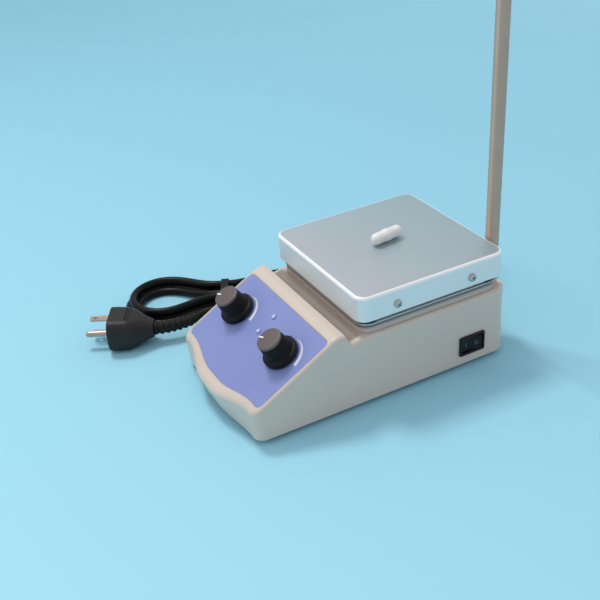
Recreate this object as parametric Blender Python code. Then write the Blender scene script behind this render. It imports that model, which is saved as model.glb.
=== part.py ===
"""A laboratory hotplate stirrer with its support rod, its mains cord in a hank and a stir bar.

Metres, +Z up. The control panel faces -Y, the mains switch is on +X, the rod stands behind at +Y.
The plate's centre line, about which the magnets turn, is x = 0, y = 0 of the "bench" empty.
"""

import math

import bmesh
import bpy
import numpy as np
from mathutils import Matrix, Vector

# Fits and facets
SEAT_GAP = 0.0003
OVERRUN = 0.002
MERGE_WITHIN = 1e-6
SMOOTH_ANGLE = math.radians(35)
ROUND_STEPS = 3
CORNER_STEPS = 5
BORE_STEPS = 16
SCREW_STEPS = 12
TURNED_STEPS = 32

# Housing: a casting, open below, that slopes to the front
SIDE_INSET = 0.00075
REAR_INSET = 0.0022
NOSE_AHEAD = 0.0800
NOSE_LEAN = 0.0016
NOSE_HEIGHT = 0.0267
NOSE_BULGE = 0.0045
CREASE_BULGE = 0.0085
BULGE_FLAT = 0.008
BULGE_REACH = 0.050
RIDGE_AHEAD = 0.0175
RIDGE_HEIGHT = 0.0631
RIDGE_BACK_AHEAD = 0.0090
GUTTER_AHEAD = 0.0030
GUTTER_DROP = 0.0015
DECK_INSET = 0.0030
DECK_HEIGHT = 0.0562
CREST_ROUND = 0.004
FRONT_CORNER = 0.007
REAR_CORNER = 0.004
LEAST_CORNER = 0.0008
EDGE_ROUND = 0.0028
WALL = 0.003
TOP_WALL = 0.004
FOOT_HEIGHT = 0.0040
FRONT_STEPS = 18

# Base cover, feet and their screws
COVER_FIT = 0.0004
COVER_THICKNESS = 0.0015
FOOT_X = 0.0460
FRONT_FOOT_SETBACK = 0.0160
REAR_FOOT_SETBACK = 0.0093
FOOT_RADIUS = 0.0070
FOOT_TAPER = 0.0008
FOOT_SINK_RADIUS = 0.0034
FOOT_SINK_DEPTH = 0.0022
BOSS_RADIUS = 0.0040
SCREW_RADIUS = 0.0015
SCREW_GRIP = 0.0100
SCREW_HEAD_RADIUS = 0.0028
SCREW_HEAD_HEIGHT = 0.0017
SCREW_CLEARANCE = 0.0003
VENT_LENGTH = 0.026
VENT_WIDTH = 0.003
VENT_PITCH = 0.008
VENT_COUNT = 5
VENT_X = 0.021
VENT_REACH = 0.040

# Front panel, set in a shallow recess of the slope
PANEL_HALF_WIDTH = 0.0560
PANEL_LOW = 0.0055
PANEL_HIGH = 0.0682
PANEL_BULGE = 0.0070
PANEL_BULGE_REACH = 0.047
PANEL_CORNER = 0.0060
PANEL_THICKNESS = 0.0011
RECESS_DEPTH = 0.0018
PANEL_FIT = 0.0003

# Controls: place on the slope, potentiometers, nuts, shafts, knobs and caps
KNOB_X = 0.0335
KNOB_RISE = 0.0415
SHAFT_RADIUS = 0.0030
SHAFT_SOCKET = 0.0072
SHAFT_STAND = 0.0135
BUSH_RADIUS = 0.0035
BUSH_STAND = 0.0028
POT_SIDE = 0.0160
POT_CORNER = 0.0020
POT_DEPTH = 0.0090
POT_NUT_ACROSS = 0.0100
POT_NUT_HEIGHT = 0.0021
SKIRT_RADIUS = 0.0125
SKIRT_HEIGHT = 0.0030
KNOB_FOOT_RADIUS = 0.0096
KNOB_TOP_RADIUS = 0.0088
KNOB_HEIGHT = 0.0171
KNOB_LIFT = 0.0008
KNOB_HOLLOW_RADIUS = 0.0074
KNOB_HOLLOW_DEPTH = 0.0042
CAP_RADIUS = 0.0080
CAP_THICKNESS = 0.0012
CAP_SINK = 0.0009
CAP_BEVEL = 0.0003
POINTER_LENGTH = 0.0036
POINTER_WIDTH = 0.0012
POINTER_DEPTH = 0.0004
POINTER_AT_REST = math.radians(202.5)

# Lamps
LAMP_X = -0.0010
POWER_LAMP_RISE = 0.0558
HEAT_LAMP_RISE = 0.0411
LAMP_RADIUS = 0.0016
LAMP_STAND = 0.0010
LAMP_FLANGE_RADIUS = 0.0026
LAMP_FLANGE_HEIGHT = 0.0010
LAMP_BODY_DEPTH = 0.0030

# Mains switch in the right wall
SWITCH_Y = 0.0326
SWITCH_Z = 0.0192
BEZEL_LENGTH = 0.0218
BEZEL_HEIGHT = 0.0156
BEZEL_THICKNESS = 0.0015
BEZEL_CORNER = 0.0010
WELL_LENGTH = 0.0182
WELL_HEIGHT = 0.0118
WELL_WALL = 0.0010
WELL_DEPTH = 0.0115
SWITCH_BACK = 0.0020
ROCKER_LENGTH = 0.0160
ROCKER_HEIGHT = 0.0110
ROCKER_DISH = math.radians(9)
ROCKER_SINK = 0.0014
ROCKER_PIVOT_DEPTH = 0.0042
ROCKER_KEEL = 0.0030
TRUNNION_RADIUS = 0.0010
TRUNNION_LENGTH = 0.0008

# Control board on posts of the base cover
BOARD_WIDTH = 0.076
BOARD_DEPTH = 0.050
BOARD_THICKNESS = 0.0016
BOARD_REACH = 0.100
POST_RADIUS = 0.0030
POST_HEIGHT = 0.0062
POST_INSET = 0.0050
TRANSFORMER = (0.026, 0.022, 0.016)
TERMINAL_BLOCK = (0.022, 0.009, 0.010)
HEAT_SINK = (0.028, 0.004, 0.014)
BLOCK_EMBED = 0.0004

# Drive: motor, shaft, magnet holder and magnets
MOTOR_RADIUS = 0.0210
MOTOR_HEIGHT = 0.0300
MOTOR_RIM = 0.0020
MOTOR_NOSE_RADIUS = 0.0060
MOTOR_NOSE_HEIGHT = 0.0030
MOTOR_EAR_REACH = 0.0290
MOTOR_EAR_RADIUS = 0.0050
MOTOR_EAR_THICKNESS = 0.0016
MOTOR_BOSS_LENGTH = 0.0060
MOTOR_SHAFT_RADIUS = 0.0025
MOTOR_SHAFT_SOCKET = 0.0200
ROTOR_HOLE_RADIUS = 0.0065
HOLDER_LENGTH = 0.0520
HOLDER_WIDTH = 0.0170
HOLDER_THICKNESS = 0.0050
HOLDER_LIFT = 0.0045
HUB_RADIUS = 0.0060
HUB_DROP = 0.0030
MAGNET_RADIUS = 0.0062
MAGNET_HEIGHT = 0.0050
MAGNET_SINK = 0.0012
MAGNET_X = 0.0180

# Heating head: tray, brackets, pad, element and plate
PLATE_SIDE = 0.1200
PLATE_RISE = 0.0300
PLATE_SKIRT = 0.0184
PLATE_CORNER = 0.0110
PLATE_EDGE_ROUND = 0.0020
PLATE_WALL = 0.0020
PLATE_FACE = 0.0030
TRAY_INSET = 0.0027
TRAY_CORNER = 0.0090
TRAY_WALL = 0.0015
TRAY_HEIGHT = 0.0073
TRAY_LIP = 0.0008
TRAY_LIP_HEIGHT = 0.0010
BRACKET_SHEET = 0.0012
BRACKET_MARGIN = 0.0150
BRACKET_TOE = 0.0100
BRACKET_SHELF = 0.0105
BRACKET_JOGGLE_GAP = 0.0010
BRACKET_JOGGLE_RISE = 0.0024
PAD_MARGIN = 0.0060
PAD_THICKNESS = 0.0016
ELEMENT_MARGIN = 0.0080
ELEMENT_THICKNESS = 0.0024
PLATE_SCREW_Y = 0.0305
PLATE_SCREW_DROP = 0.0117
PLATE_SCREW_HEAD = 0.0019
TRAY_SCREW_INSET = 0.0083
TRAY_SCREW_GRIP = 0.0070

# Support rod and the lug that carries it
ROD_X = 0.0350
ROD_BEHIND = 0.0092
ROD_RADIUS = 0.00485
ROD_LENGTH = 0.3000
ROD_CHAMFER = 0.0010
STUD_RADIUS = 0.0037
STUD_LENGTH = 0.0260
LUG_RADIUS = 0.0095
LUG_TOP = 0.0460
LUG_HEIGHT = 0.0160
ROD_NUT_ACROSS = 0.0130
ROD_NUT_HEIGHT = 0.0065

# Stir bar on the plate
BAR_LENGTH = 0.0270
BAR_RADIUS = 0.0038
BAR_RING_RADIUS = 0.0042
BAR_RING_WIDTH = 0.0040
BAR_HEADING = math.radians(99)

# Mains cord: gland in the rear wall, lead, hank and the lead to the plug
CORD_RADIUS = 0.00325
GLAND_X = -0.0300
GLAND_Z = 0.0180
GLAND_RADIUS = 0.0060
GLAND_FLANGE_RADIUS = 0.0080
GLAND_FLANGE = 0.0020
GLAND_LENGTH = 0.0320
GLAND_TAIL_RADIUS = 0.0044
GLAND_RIBS = 6
GLAND_RIB_DEPTH = 0.0006
CORD_STEP = 0.0160
HANK_X = -0.1220
HANK_Y = -0.0800
HANK_HEADING = math.atan2(0.889, 0.459)
HANK_RUN = 0.1000
HANK_INNER_RADIUS = 0.0195
HANK_PITCH = 0.0079
HANK_LAYER = 0.0070
HANK_WAIST = 0.0157
HANK_LIFT = 0.0013
HANK_START_TURN = -0.125
HANK_LOOPS = 3
HANK_REVERSE_TURN = 1.5
HANK_FOLD_STEPS = 5
HANK_RUN_STEPS = 3
HANK_TIED = 0.005

# The lead round the rear left corner: across, behind the gland's end, up
LEAD_ROUTE = [(-0.0300, 0.014, 0.01700), (-0.0340, 0.030, 0.01250), (-0.0460, 0.042, 0.00550),
              (-0.0620, 0.043, 0.00325), (-0.0760, 0.033, 0.00325), (-0.0830, 0.014, 0.00325),
              (-0.0810, -0.012, 0.00325), (-0.0740, -0.046, 0.00325), (-0.0675, -0.080, 0.00325),
              (-0.0645, -0.106, 0.00325)]

# The lead to the plug: along the hank from its middle, aside, up
PLUG_LEAD_ROUTE = [(0.0250, 0.0285, 0.0100), (0.0100, 0.0270, 0.0096), (-0.0045, 0.0284, 0.0103)]
LEAST_SELF_GAP = 0.0004
TIE_WIDTH = 0.0060
TIE_THICKNESS = 0.0008
TIE_GAP = 0.0003
TIE_CORNER = 0.0030

# Plug with two flat blades and a round earth pin
PLUG_X = -0.1173
PLUG_Y = -0.1797
PLUG_HEADING = math.atan2(-0.877, -0.480)
PLUG_WIDTH = 0.0300
PLUG_HEIGHT = 0.0240
PLUG_LENGTH = 0.0340
PLUG_CORNER = 0.0080
PLUG_LIFT = 0.0002
BLADE_LENGTH = 0.0165
BLADE_WIDTH = 0.0063
BLADE_THICKNESS = 0.0015
BLADE_SPACING = 0.0127
BLADE_ASIDE = 0.0075
BLADE_HOLE_RADIUS = 0.0015
BLADE_HOLE_FROM_TIP = 0.0045
PIN_RADIUS = 0.0024
PIN_LENGTH = 0.0190
PIN_ASIDE = 0.0044
PRONG_ROOT = 0.0040
PRONG_FIT = 0.0003
RELIEF_LENGTH = 0.0360
RELIEF_BEND = math.radians(44)
RELIEF_RADIUS = 0.0054
RELIEF_TAIL_RADIUS = 0.0042
RELIEF_RIB_DEPTH = 0.0007
RELIEF_RIBS = 7

# Places that follow from the sizes above
housing_width = PLATE_SIDE - 2 * SIDE_INSET
deck_reach = PLATE_SIDE / 2 - DECK_INSET
gutter_reach = PLATE_SIDE / 2 + GUTTER_AHEAD
gutter_height = DECK_HEIGHT - GUTTER_DROP
ridge_back = PLATE_SIDE / 2 + RIDGE_BACK_AHEAD
ridge_reach = PLATE_SIDE / 2 + RIDGE_AHEAD
nose_reach = PLATE_SIDE / 2 + NOSE_AHEAD
rear_reach = PLATE_SIDE / 2 - REAR_INSET
rod_y = rear_reach + ROD_BEHIND
plate_top = DECK_HEIGHT + PLATE_RISE
plate_screw_z = plate_top - PLATE_SCREW_DROP
slope_rise = RIDGE_HEIGHT - NOSE_HEIGHT
crease_reach = nose_reach + NOSE_LEAN
slope_angle = math.atan2(slope_rise, crease_reach - ridge_reach)
front_most = -(crease_reach + CREASE_BULGE)
rear_most = rod_y + LUG_RADIUS
wall_x = housing_width / 2
front_foot_reach = nose_reach - FRONT_FOOT_SETBACK
rear_foot_reach = rear_reach - REAR_FOOT_SETBACK
deck_under = DECK_HEIGHT - TOP_WALL
slope_wall = TOP_WALL * math.cos(slope_angle)
cover_low = FOOT_HEIGHT + SEAT_GAP
cover_top = cover_low + COVER_THICKNESS
panel_face = PANEL_THICKNESS + SEAT_GAP - RECESS_DEPTH
plate_foot = plate_top - PLATE_SKIRT
plate_inside = PLATE_SIDE - 2 * PLATE_WALL
tray_side = PLATE_SIDE - 2 * TRAY_INSET
tray_screw_x = tray_side / 2 - TRAY_SCREW_INSET
bracket_length = PLATE_SIDE - 2 * BRACKET_MARGIN
pad_side = plate_inside - 2 * PAD_MARGIN
element_side = plate_inside - 2 * ELEMENT_MARGIN
tray_floor = DECK_HEIGHT + SEAT_GAP + TRAY_WALL
bore_radius = SCREW_RADIUS + SCREW_CLEARANCE
motor_top = deck_under - MOTOR_BOSS_LENGTH - SEAT_GAP
holder_low = tray_floor + HOLDER_LIFT
shaft_top = holder_low + HOLDER_THICKNESS - SEAT_GAP
layer_low = CORD_RADIUS
hank_outer_radius = HANK_INNER_RADIUS + HANK_PITCH * HANK_REVERSE_TURN


def clear_scene():
    for thing in list(bpy.data.objects):
        bpy.data.objects.remove(thing, do_unlink=True)


# Finishes

def finish(name, colour, roughness, metallic):
    made = bpy.data.materials.new(name)
    made.use_nodes = True
    shader = made.node_tree.nodes["Principled BSDF"]
    shader.inputs["Base Color"].default_value = (*colour, 1.0)
    shader.inputs["Roughness"].default_value = roughness
    shader.inputs["Metallic"].default_value = metallic
    made.diffuse_color = (*colour, 1.0)
    return made


clear_scene()
PAINT = finish("warm grey paint", (0.66, 0.60, 0.53), 0.45, 0.0)
PANEL_BLUE = finish("violet blue panel", (0.20, 0.25, 0.62), 0.40, 0.0)
BLACK = finish("black plastic", (0.02, 0.02, 0.022), 0.40, 0.0)
RUBBER = finish("black rubber", (0.03, 0.03, 0.03), 0.80, 0.0)
CORD_BLACK = finish("black cord sheath", (0.015, 0.015, 0.017), 0.50, 0.0)
ALUMINIUM = finish("satin aluminium", (0.66, 0.68, 0.70), 0.35, 0.9)
CAP_METAL = finish("spun cap", (0.30, 0.28, 0.26), 0.35, 0.8)
STEEL = finish("stainless steel", (0.55, 0.54, 0.52), 0.22, 1.0)
ZINC = finish("zinc plated steel", (0.60, 0.60, 0.58), 0.35, 1.0)
LENS = finish("clear lamp lens", (0.80, 0.86, 0.90), 0.15, 0.0)
BOARD_GREEN = finish("board green", (0.03, 0.20, 0.09), 0.50, 0.0)
MICA = finish("mica", (0.55, 0.45, 0.32), 0.60, 0.0)
FELT = finish("white insulation", (0.80, 0.80, 0.78), 0.90, 0.0)
BRASS = finish("plated brass", (0.70, 0.62, 0.42), 0.30, 1.0)
FERRITE = finish("magnet", (0.12, 0.12, 0.13), 0.50, 0.3)
PTFE = finish("white stir bar coat", (0.90, 0.90, 0.88), 0.45, 0.0)


# Frames that carry the pieces

def frame_at(name, parent, place, turn):
    """An empty at a place, turned by an Euler angle, that pieces are parented to."""
    empty = bpy.data.objects.new(name, None)
    bpy.context.scene.collection.objects.link(empty)
    empty.parent = parent
    empty.location = place
    empty.rotation_euler = turn
    return empty


bench = frame_at("bench", None, (0, -(front_most + rear_most) / 2, 0), (0, 0, 0))
slope = frame_at("slope", bench, (0, -crease_reach, NOSE_HEIGHT), (slope_angle, 0, 0))


# Outlines

def arc(centre, radius, start, end, steps):
    """Points on an arc, both ends included."""
    found = []
    for step in range(steps + 1):
        angle = start + (end - start) * step / steps
        found.append((centre[0] + radius * math.cos(angle), centre[1] + radius * math.sin(angle)))
    return found


def rounded_rectangle(width, depth, radius, centre=(0, 0), steps=CORNER_STEPS):
    """A counter-clockwise rectangle with round corners."""
    x = width / 2 - radius
    y = depth / 2 - radius
    points = []
    for quarter, (sx, sy) in enumerate(((1, 1), (-1, 1), (-1, -1), (1, -1))):
        corner = (centre[0] + sx * x, centre[1] + sy * y)
        points += arc(corner, radius, quarter * math.pi / 2, (quarter + 1) * math.pi / 2, steps)
    return points


def circle(radius, centre=(0, 0), steps=BORE_STEPS):
    return arc(centre, radius, 0, math.tau * (steps - 1) / steps, steps - 1)


def hexagon(across):
    return arc((0, 0), across / math.sqrt(3), 0, math.tau * 5 / 6, 5)


def swell(x, flat, reach):
    """One at the middle, falling smoothly to zero where the bulge of the nose ends."""
    share = min(max((abs(x) - flat) / (reach - flat), 0), 1)
    return 1 - share * share * (3 - 2 * share)


def strip_outline(path, thickness):
    """The outline of bent sheet metal, from the middle line of the sheet."""
    sides = ([], [])
    for index, point in enumerate(path):
        here = Vector(point)
        before = (here - Vector(path[index - 1])).normalized() if index else None
        after = (Vector(path[index + 1]) - here).normalized() if index + 1 < len(path) else None
        along = ((before or after) + (after or before)).normalized()
        across = Vector((-along.y, along.x))
        reach = thickness / 2 / (along.dot(after or before))
        sides[0].append(here + across * reach)
        sides[1].append(here - across * reach)
    return [tuple(point) for point in sides[1] + sides[0][::-1]]


# Solid forms

def skin(rings):
    """A closed mesh through rings of points, with a flat cap at each end."""
    form = bmesh.new()
    loops = [[form.verts.new(point) for point in ring] for ring in rings]
    for low, high in zip(loops, loops[1:]):
        for index in range(len(low)):
            follow = (index + 1) % len(low)
            form.faces.new((low[index], low[follow], high[follow], high[index]))
    form.faces.new(loops[0][::-1])
    form.faces.new(loops[-1])
    bmesh.ops.recalc_face_normals(form, faces=form.faces)
    return form


def level(outline, z):
    return [(x, y, z) for x, y in outline]


def prism(outline, low, high):
    return skin([level(outline, low), level(outline, high)])


def collar(outer, inner, low, high):
    """A prism with a hole through it; both outlines have as many points."""
    form = bmesh.new()
    loops = []
    for outline, z in ((outer, low), (outer, high), (inner, high), (inner, low)):
        loops.append([form.verts.new(point) for point in level(outline, z)])
    for first, second in zip(loops, loops[1:] + loops[:1]):
        for index in range(len(outer)):
            follow = (index + 1) % len(outer)
            form.faces.new((first[index], first[follow], second[follow], second[index]))
    bmesh.ops.recalc_face_normals(form, faces=form.faces)
    return form


def turned(profile, steps=TURNED_STEPS):
    """A profile of (radius, height) points turned about Z. One that doesn't start on the axis has a bore."""
    form = bmesh.new()
    corners = [form.verts.new((radius, 0, z)) for radius, z in profile]
    pairs = list(zip(corners, corners[1:]))
    if profile[0][0] > 0:
        pairs.append((corners[-1], corners[0]))
    edges = [form.edges.new(pair) for pair in pairs]
    bmesh.ops.spin(form, geom=corners + edges, cent=(0, 0, 0), axis=(0, 0, 1), angle=math.tau, steps=steps,
                   use_merge=True)
    bmesh.ops.remove_doubles(form, verts=form.verts, dist=MERGE_WITHIN)
    bmesh.ops.recalc_face_normals(form, faces=form.faces)
    return form


def drum(radius, low, high, steps=BORE_STEPS):
    return prism(circle(radius, steps=steps), low, high)


def moved(form, matrix):
    bmesh.ops.transform(form, matrix=matrix, verts=form.verts)
    return form


def shifted(form, x, y, z):
    return moved(form, Matrix.Translation((x, y, z)))


def lying_along_x(form):
    """Turns a form's own Z to X and its own X to -Z."""
    return moved(form, Matrix.Rotation(math.pi / 2, 4, "Y"))


def lying_along_y(form):
    """Turns a form's own Z to Y."""
    return moved(form, Matrix.Rotation(-math.pi / 2, 4, "X"))


def block(size, low_corner):
    """A box of a size with its lowest corner at a place."""
    width, depth, height = size
    middle = (low_corner[0] + width / 2, low_corner[1] + depth / 2)
    outline = [(middle[0] + sx * width / 2, middle[1] + sy * depth / 2)
               for sx, sy in ((-1, -1), (1, -1), (1, 1), (-1, 1))]
    return prism(outline, low_corner[2], low_corner[2] + height)


def gathered(forms):
    """Several forms that don't touch, in one mesh, for one cutter."""
    whole = bmesh.new()
    for form in forms:
        mesh = bpy.data.meshes.new("gathered")
        form.to_mesh(mesh)
        form.free()
        whole.from_mesh(mesh)
        bpy.data.meshes.remove(mesh)
    return whole


# Objects

def piece(name, form, material, parent=bench, place=(0, 0, 0), turn=(0, 0, 0)):
    """A named object from a form, in its finish, at its place under its frame."""
    mesh = bpy.data.meshes.new(name)
    form.to_mesh(mesh)
    form.free()
    mesh.materials.append(material)
    mesh.shade_smooth()
    mesh.set_sharp_from_angle(angle=SMOOTH_ANGLE)
    thing = bpy.data.objects.new(name, mesh)
    bpy.context.scene.collection.objects.link(thing)
    thing.parent = parent
    thing.location = place
    thing.rotation_euler = turn
    return thing


def combine(body, form, operation, frame=None):
    """Adds a Boolean to a body, with a hidden helper in the frame given, or in the body's own."""
    count = len(body.modifiers) + 1
    helper = piece(f"{body.name}_{operation.lower()}_{count}", form, body.data.materials[0], frame or body.parent)
    if frame is None:
        helper.location = body.location
        helper.rotation_euler = body.rotation_euler
    helper.hide_render = True
    helper.display_type = "WIRE"
    change = body.modifiers.new(f"{operation.lower()} {count}", "BOOLEAN")
    change.operation = operation
    change.solver = "EXACT"
    change.object = helper


def cut(body, forms, frame=None):
    combine(body, gathered(forms), "DIFFERENCE", frame)


def fuse(body, form, frame=None):
    combine(body, form, "UNION", frame)


# Housing

def top_profile():
    """(y, height) along the housing's top, from in front of the nose to the rear wall."""
    grade = slope_rise / (crease_reach - ridge_reach)
    far = 2 * nose_reach
    points = [(-far, NOSE_HEIGHT - grade * (far - crease_reach))]
    crest_start = Vector((-ridge_reach - CREST_ROUND, RIDGE_HEIGHT - grade * CREST_ROUND))
    crest = Vector((-ridge_reach, RIDGE_HEIGHT))
    crest_end = Vector((min(-ridge_reach + CREST_ROUND, -ridge_back), RIDGE_HEIGHT))
    for step in range(ROUND_STEPS + 1):
        share = step / ROUND_STEPS
        spot = crest_start * (1 - share) ** 2 + crest * 2 * share * (1 - share) + crest_end * share ** 2
        points.append((spot.x, spot.y))
    points += fall(-ridge_back, RIDGE_HEIGHT, -gutter_reach, gutter_height, 2 * ROUND_STEPS)
    points += fall(-gutter_reach, gutter_height, -deck_reach, DECK_HEIGHT, ROUND_STEPS)
    points.append((2 * rear_reach, DECK_HEIGHT))
    return sorted({round(y, 7): z for y, z in points}.items())


def fall(start, start_height, end, end_height, steps):
    """A smooth step from one height to another."""
    found = []
    for step in range(steps + 1):
        share = step / steps
        height = start_height + (end_height - start_height) * (1 - math.cos(math.pi * share)) / 2
        found.append((start + (end - start) * share, height))
    return found


PROFILE = top_profile()


def top_height(y):
    return float(np.interp(y, [point[0] for point in PROFILE], [point[1] for point in PROFILE]))


def plan_outline(inset, reach, bulge):
    """The housing seen from above, drawn in by an inset, with the bulge of its nose."""
    half = housing_width / 2 - inset
    front = inset - reach
    rear = rear_reach - inset
    front_corner = max(FRONT_CORNER - inset, LEAST_CORNER)
    rear_corner = max(REAR_CORNER - inset, LEAST_CORNER)
    points = []
    straight = half - front_corner
    for step in range(FRONT_STEPS + 1):
        x = straight * (2 * step / FRONT_STEPS - 1)
        points.append((x, front - bulge * swell(x, BULGE_FLAT, BULGE_REACH)))
    points += arc((half - front_corner, front + front_corner), front_corner, -math.pi / 2, 0, CORNER_STEPS)[1:]
    points += arc((half - rear_corner, rear - rear_corner), rear_corner, 0, math.pi / 2, CORNER_STEPS)
    points += arc((rear_corner - half, rear - rear_corner), rear_corner, math.pi / 2, math.pi, CORNER_STEPS)
    points += arc((front_corner - half, front + front_corner), front_corner, math.pi, math.pi * 3 / 2,
                  CORNER_STEPS)[:-1]
    return points


def housing_form(inset, lowered, foot, edge_round):
    """The housing's shape: a plan outline raised to the top surface, whose edges are rounded over."""
    deep = -2 * EDGE_ROUND
    rings = [level(plan_outline(inset, nose_reach, NOSE_BULGE), deep)]
    for step in range(ROUND_STEPS + 1):
        angle = math.pi / 2 * step / ROUND_STEPS
        drawn_in = inset + edge_round * (1 - math.cos(angle))
        rings.append(level(plan_outline(drawn_in, crease_reach, CREASE_BULGE), -edge_round * (1 - math.sin(angle))))
    form = skin(rings)
    for y, _ in PROFILE[1:-1]:
        whole = form.verts[:] + form.edges[:] + form.faces[:]
        bmesh.ops.bisect_plane(form, geom=whole, dist=MERGE_WITHIN, plane_co=(0, y, 0), plane_no=(0, 1, 0))
    for vertex in form.verts:
        if vertex.co.z < -1.5 * EDGE_ROUND:
            vertex.co.z = foot
        else:
            vertex.co.z += top_height(vertex.co.y) - lowered
    return form


def foot_places():
    """(name, x, y) of the four feet, which share their screws with the base cover."""
    for depth_name, y in (("front", -front_foot_reach), ("rear", rear_foot_reach)):
        for side_name, x in (("left", -FOOT_X), ("right", FOOT_X)):
            yield f"{depth_name}_{side_name}", x, y


def panel_outline(grow):
    """The panel's outline on the slope, across and up from the crease."""
    half = PANEL_HALF_WIDTH + grow
    low = PANEL_LOW - grow
    high = PANEL_HIGH + grow
    corner = PANEL_CORNER + grow
    points = []
    for step in range(FRONT_STEPS + 1):
        x = (half - corner) * (2 * step / FRONT_STEPS - 1)
        points.append((x, low - PANEL_BULGE * swell(x, BULGE_FLAT, PANEL_BULGE_REACH)))
    points += arc((half - corner, low + corner), corner, -math.pi / 2, 0, CORNER_STEPS)[1:]
    points += arc((half - corner, high - corner), corner, 0, math.pi / 2, CORNER_STEPS)
    points += arc((corner - half, high - corner), corner, math.pi / 2, math.pi, CORNER_STEPS)
    points += arc((corner - half, low + corner), corner, math.pi, math.pi * 3 / 2, CORNER_STEPS)[:-1]
    return points


def slope_holes(low, high):
    """Cutters for the two control bushes and the two lamps, along the slope's normal."""
    holes = []
    for side in (-1, 1):
        hole = drum(BUSH_RADIUS + SEAT_GAP, low, high)
        holes.append(shifted(hole, side * KNOB_X, KNOB_RISE, 0))
    for rise in (POWER_LAMP_RISE, HEAT_LAMP_RISE):
        holes.append(shifted(drum(LAMP_RADIUS + SEAT_GAP, low, high), LAMP_X, rise, 0))
    return holes


def switch_opening(grow):
    outline = rounded_rectangle(WELL_HEIGHT + 2 * WELL_WALL + 2 * grow, WELL_LENGTH + 2 * WELL_WALL + 2 * grow,
                                BEZEL_CORNER)
    form = lying_along_x(prism(outline, -WALL - OVERRUN, OVERRUN))
    return shifted(form, wall_x, SWITCH_Y, SWITCH_Z)


def lug_form():
    """The eye on the rear wall that the support rod screws into."""
    root = rear_reach - WALL / 2
    outline = [(ROD_X - LUG_RADIUS, root), (ROD_X + LUG_RADIUS, root)]
    outline += arc((ROD_X, rod_y), LUG_RADIUS, 0, math.pi, 2 * CORNER_STEPS)
    return prism(outline, LUG_TOP - LUG_HEIGHT, LUG_TOP)


def make_housing():
    body = piece("housing", housing_form(0, 0, FOOT_HEIGHT, EDGE_ROUND), PAINT)
    cut(body, [housing_form(WALL, TOP_WALL, FOOT_HEIGHT - OVERRUN, EDGE_ROUND / 2)])
    fuse(body, lug_form())
    for _, x, y in foot_places():
        inside = top_height(y) - TOP_WALL / 2
        fuse(body, shifted(drum(BOSS_RADIUS, cover_top + SEAT_GAP, inside), x, y, 0))
    for side in (-1, 1):
        boss = drum(BOSS_RADIUS, deck_under - MOTOR_BOSS_LENGTH, deck_under + TOP_WALL / 2)
        fuse(body, shifted(boss, side * MOTOR_EAR_REACH, 0, 0))
    cut(body, [prism(panel_outline(PANEL_FIT), -RECESS_DEPTH, OVERRUN)], slope)
    cut(body, slope_holes(-slope_wall - 2 * OVERRUN, OVERRUN), slope)
    bores = []
    for _, x, y in foot_places():
        bores.append(shifted(drum(bore_radius, cover_low, cover_top + SCREW_GRIP, SCREW_STEPS), x, y, 0))
    for side in (-1, 1):
        bore = drum(bore_radius, deck_under - MOTOR_BOSS_LENGTH - OVERRUN, deck_under, SCREW_STEPS)
        bores.append(shifted(bore, side * MOTOR_EAR_REACH, 0, 0))
        bore = drum(bore_radius, deck_under - OVERRUN, DECK_HEIGHT + OVERRUN, SCREW_STEPS)
        bores.append(shifted(bore, side * tray_screw_x, 0, 0))
    bores.append(drum(ROTOR_HOLE_RADIUS, deck_under - OVERRUN, DECK_HEIGHT + OVERRUN))
    cut(body, bores)
    gland_hole = lying_along_y(drum(GLAND_RADIUS + SEAT_GAP, rear_reach - WALL - OVERRUN, rear_reach + OVERRUN))
    stud_hole = drum(STUD_RADIUS + SEAT_GAP, LUG_TOP - LUG_HEIGHT - OVERRUN, LUG_TOP + OVERRUN)
    cut(body, [switch_opening(SEAT_GAP), shifted(gland_hole, GLAND_X, 0, GLAND_Z), shifted(stud_hole, ROD_X, rod_y, 0)])


# Base cover, feet and screws

def make_base_cover():
    cover = piece("base_cover", prism(plan_outline(WALL + COVER_FIT, nose_reach, NOSE_BULGE), cover_low, cover_top),
                  ZINC)
    for sx in (-1, 1):
        for sy in (-1, 1):
            post = drum(POST_RADIUS, cover_low + COVER_THICKNESS / 2, cover_top + POST_HEIGHT)
            x = sx * (BOARD_WIDTH / 2 - POST_INSET)
            fuse(cover, shifted(post, x, sy * (BOARD_DEPTH / 2 - POST_INSET) - BOARD_REACH, 0))
    openings = []
    for _, x, y in foot_places():
        openings.append(shifted(drum(bore_radius, cover_low - OVERRUN, cover_top + OVERRUN, SCREW_STEPS), x, y, 0))
    for side in (-1, 1):
        for index in range(VENT_COUNT):
            slot = rounded_rectangle(VENT_LENGTH, VENT_WIDTH, VENT_WIDTH / 2 - MERGE_WITHIN, steps=ROUND_STEPS)
            y = index * VENT_PITCH - VENT_REACH
            openings.append(shifted(prism(slot, cover_low - OVERRUN, cover_top + OVERRUN), side * VENT_X, y, 0))
    cut(cover, openings)


def screw_form(grip, head=SCREW_HEAD_HEIGHT):
    """A pan-head screw: its seat is at zero, its shank runs down from there."""
    shoulder = head / 2
    return turned([(0, -grip), (SCREW_RADIUS, -grip), (SCREW_RADIUS, 0), (SCREW_HEAD_RADIUS, 0),
                   (SCREW_HEAD_RADIUS, shoulder), (SCREW_HEAD_RADIUS - shoulder, head), (0, head)], SCREW_STEPS)


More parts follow.
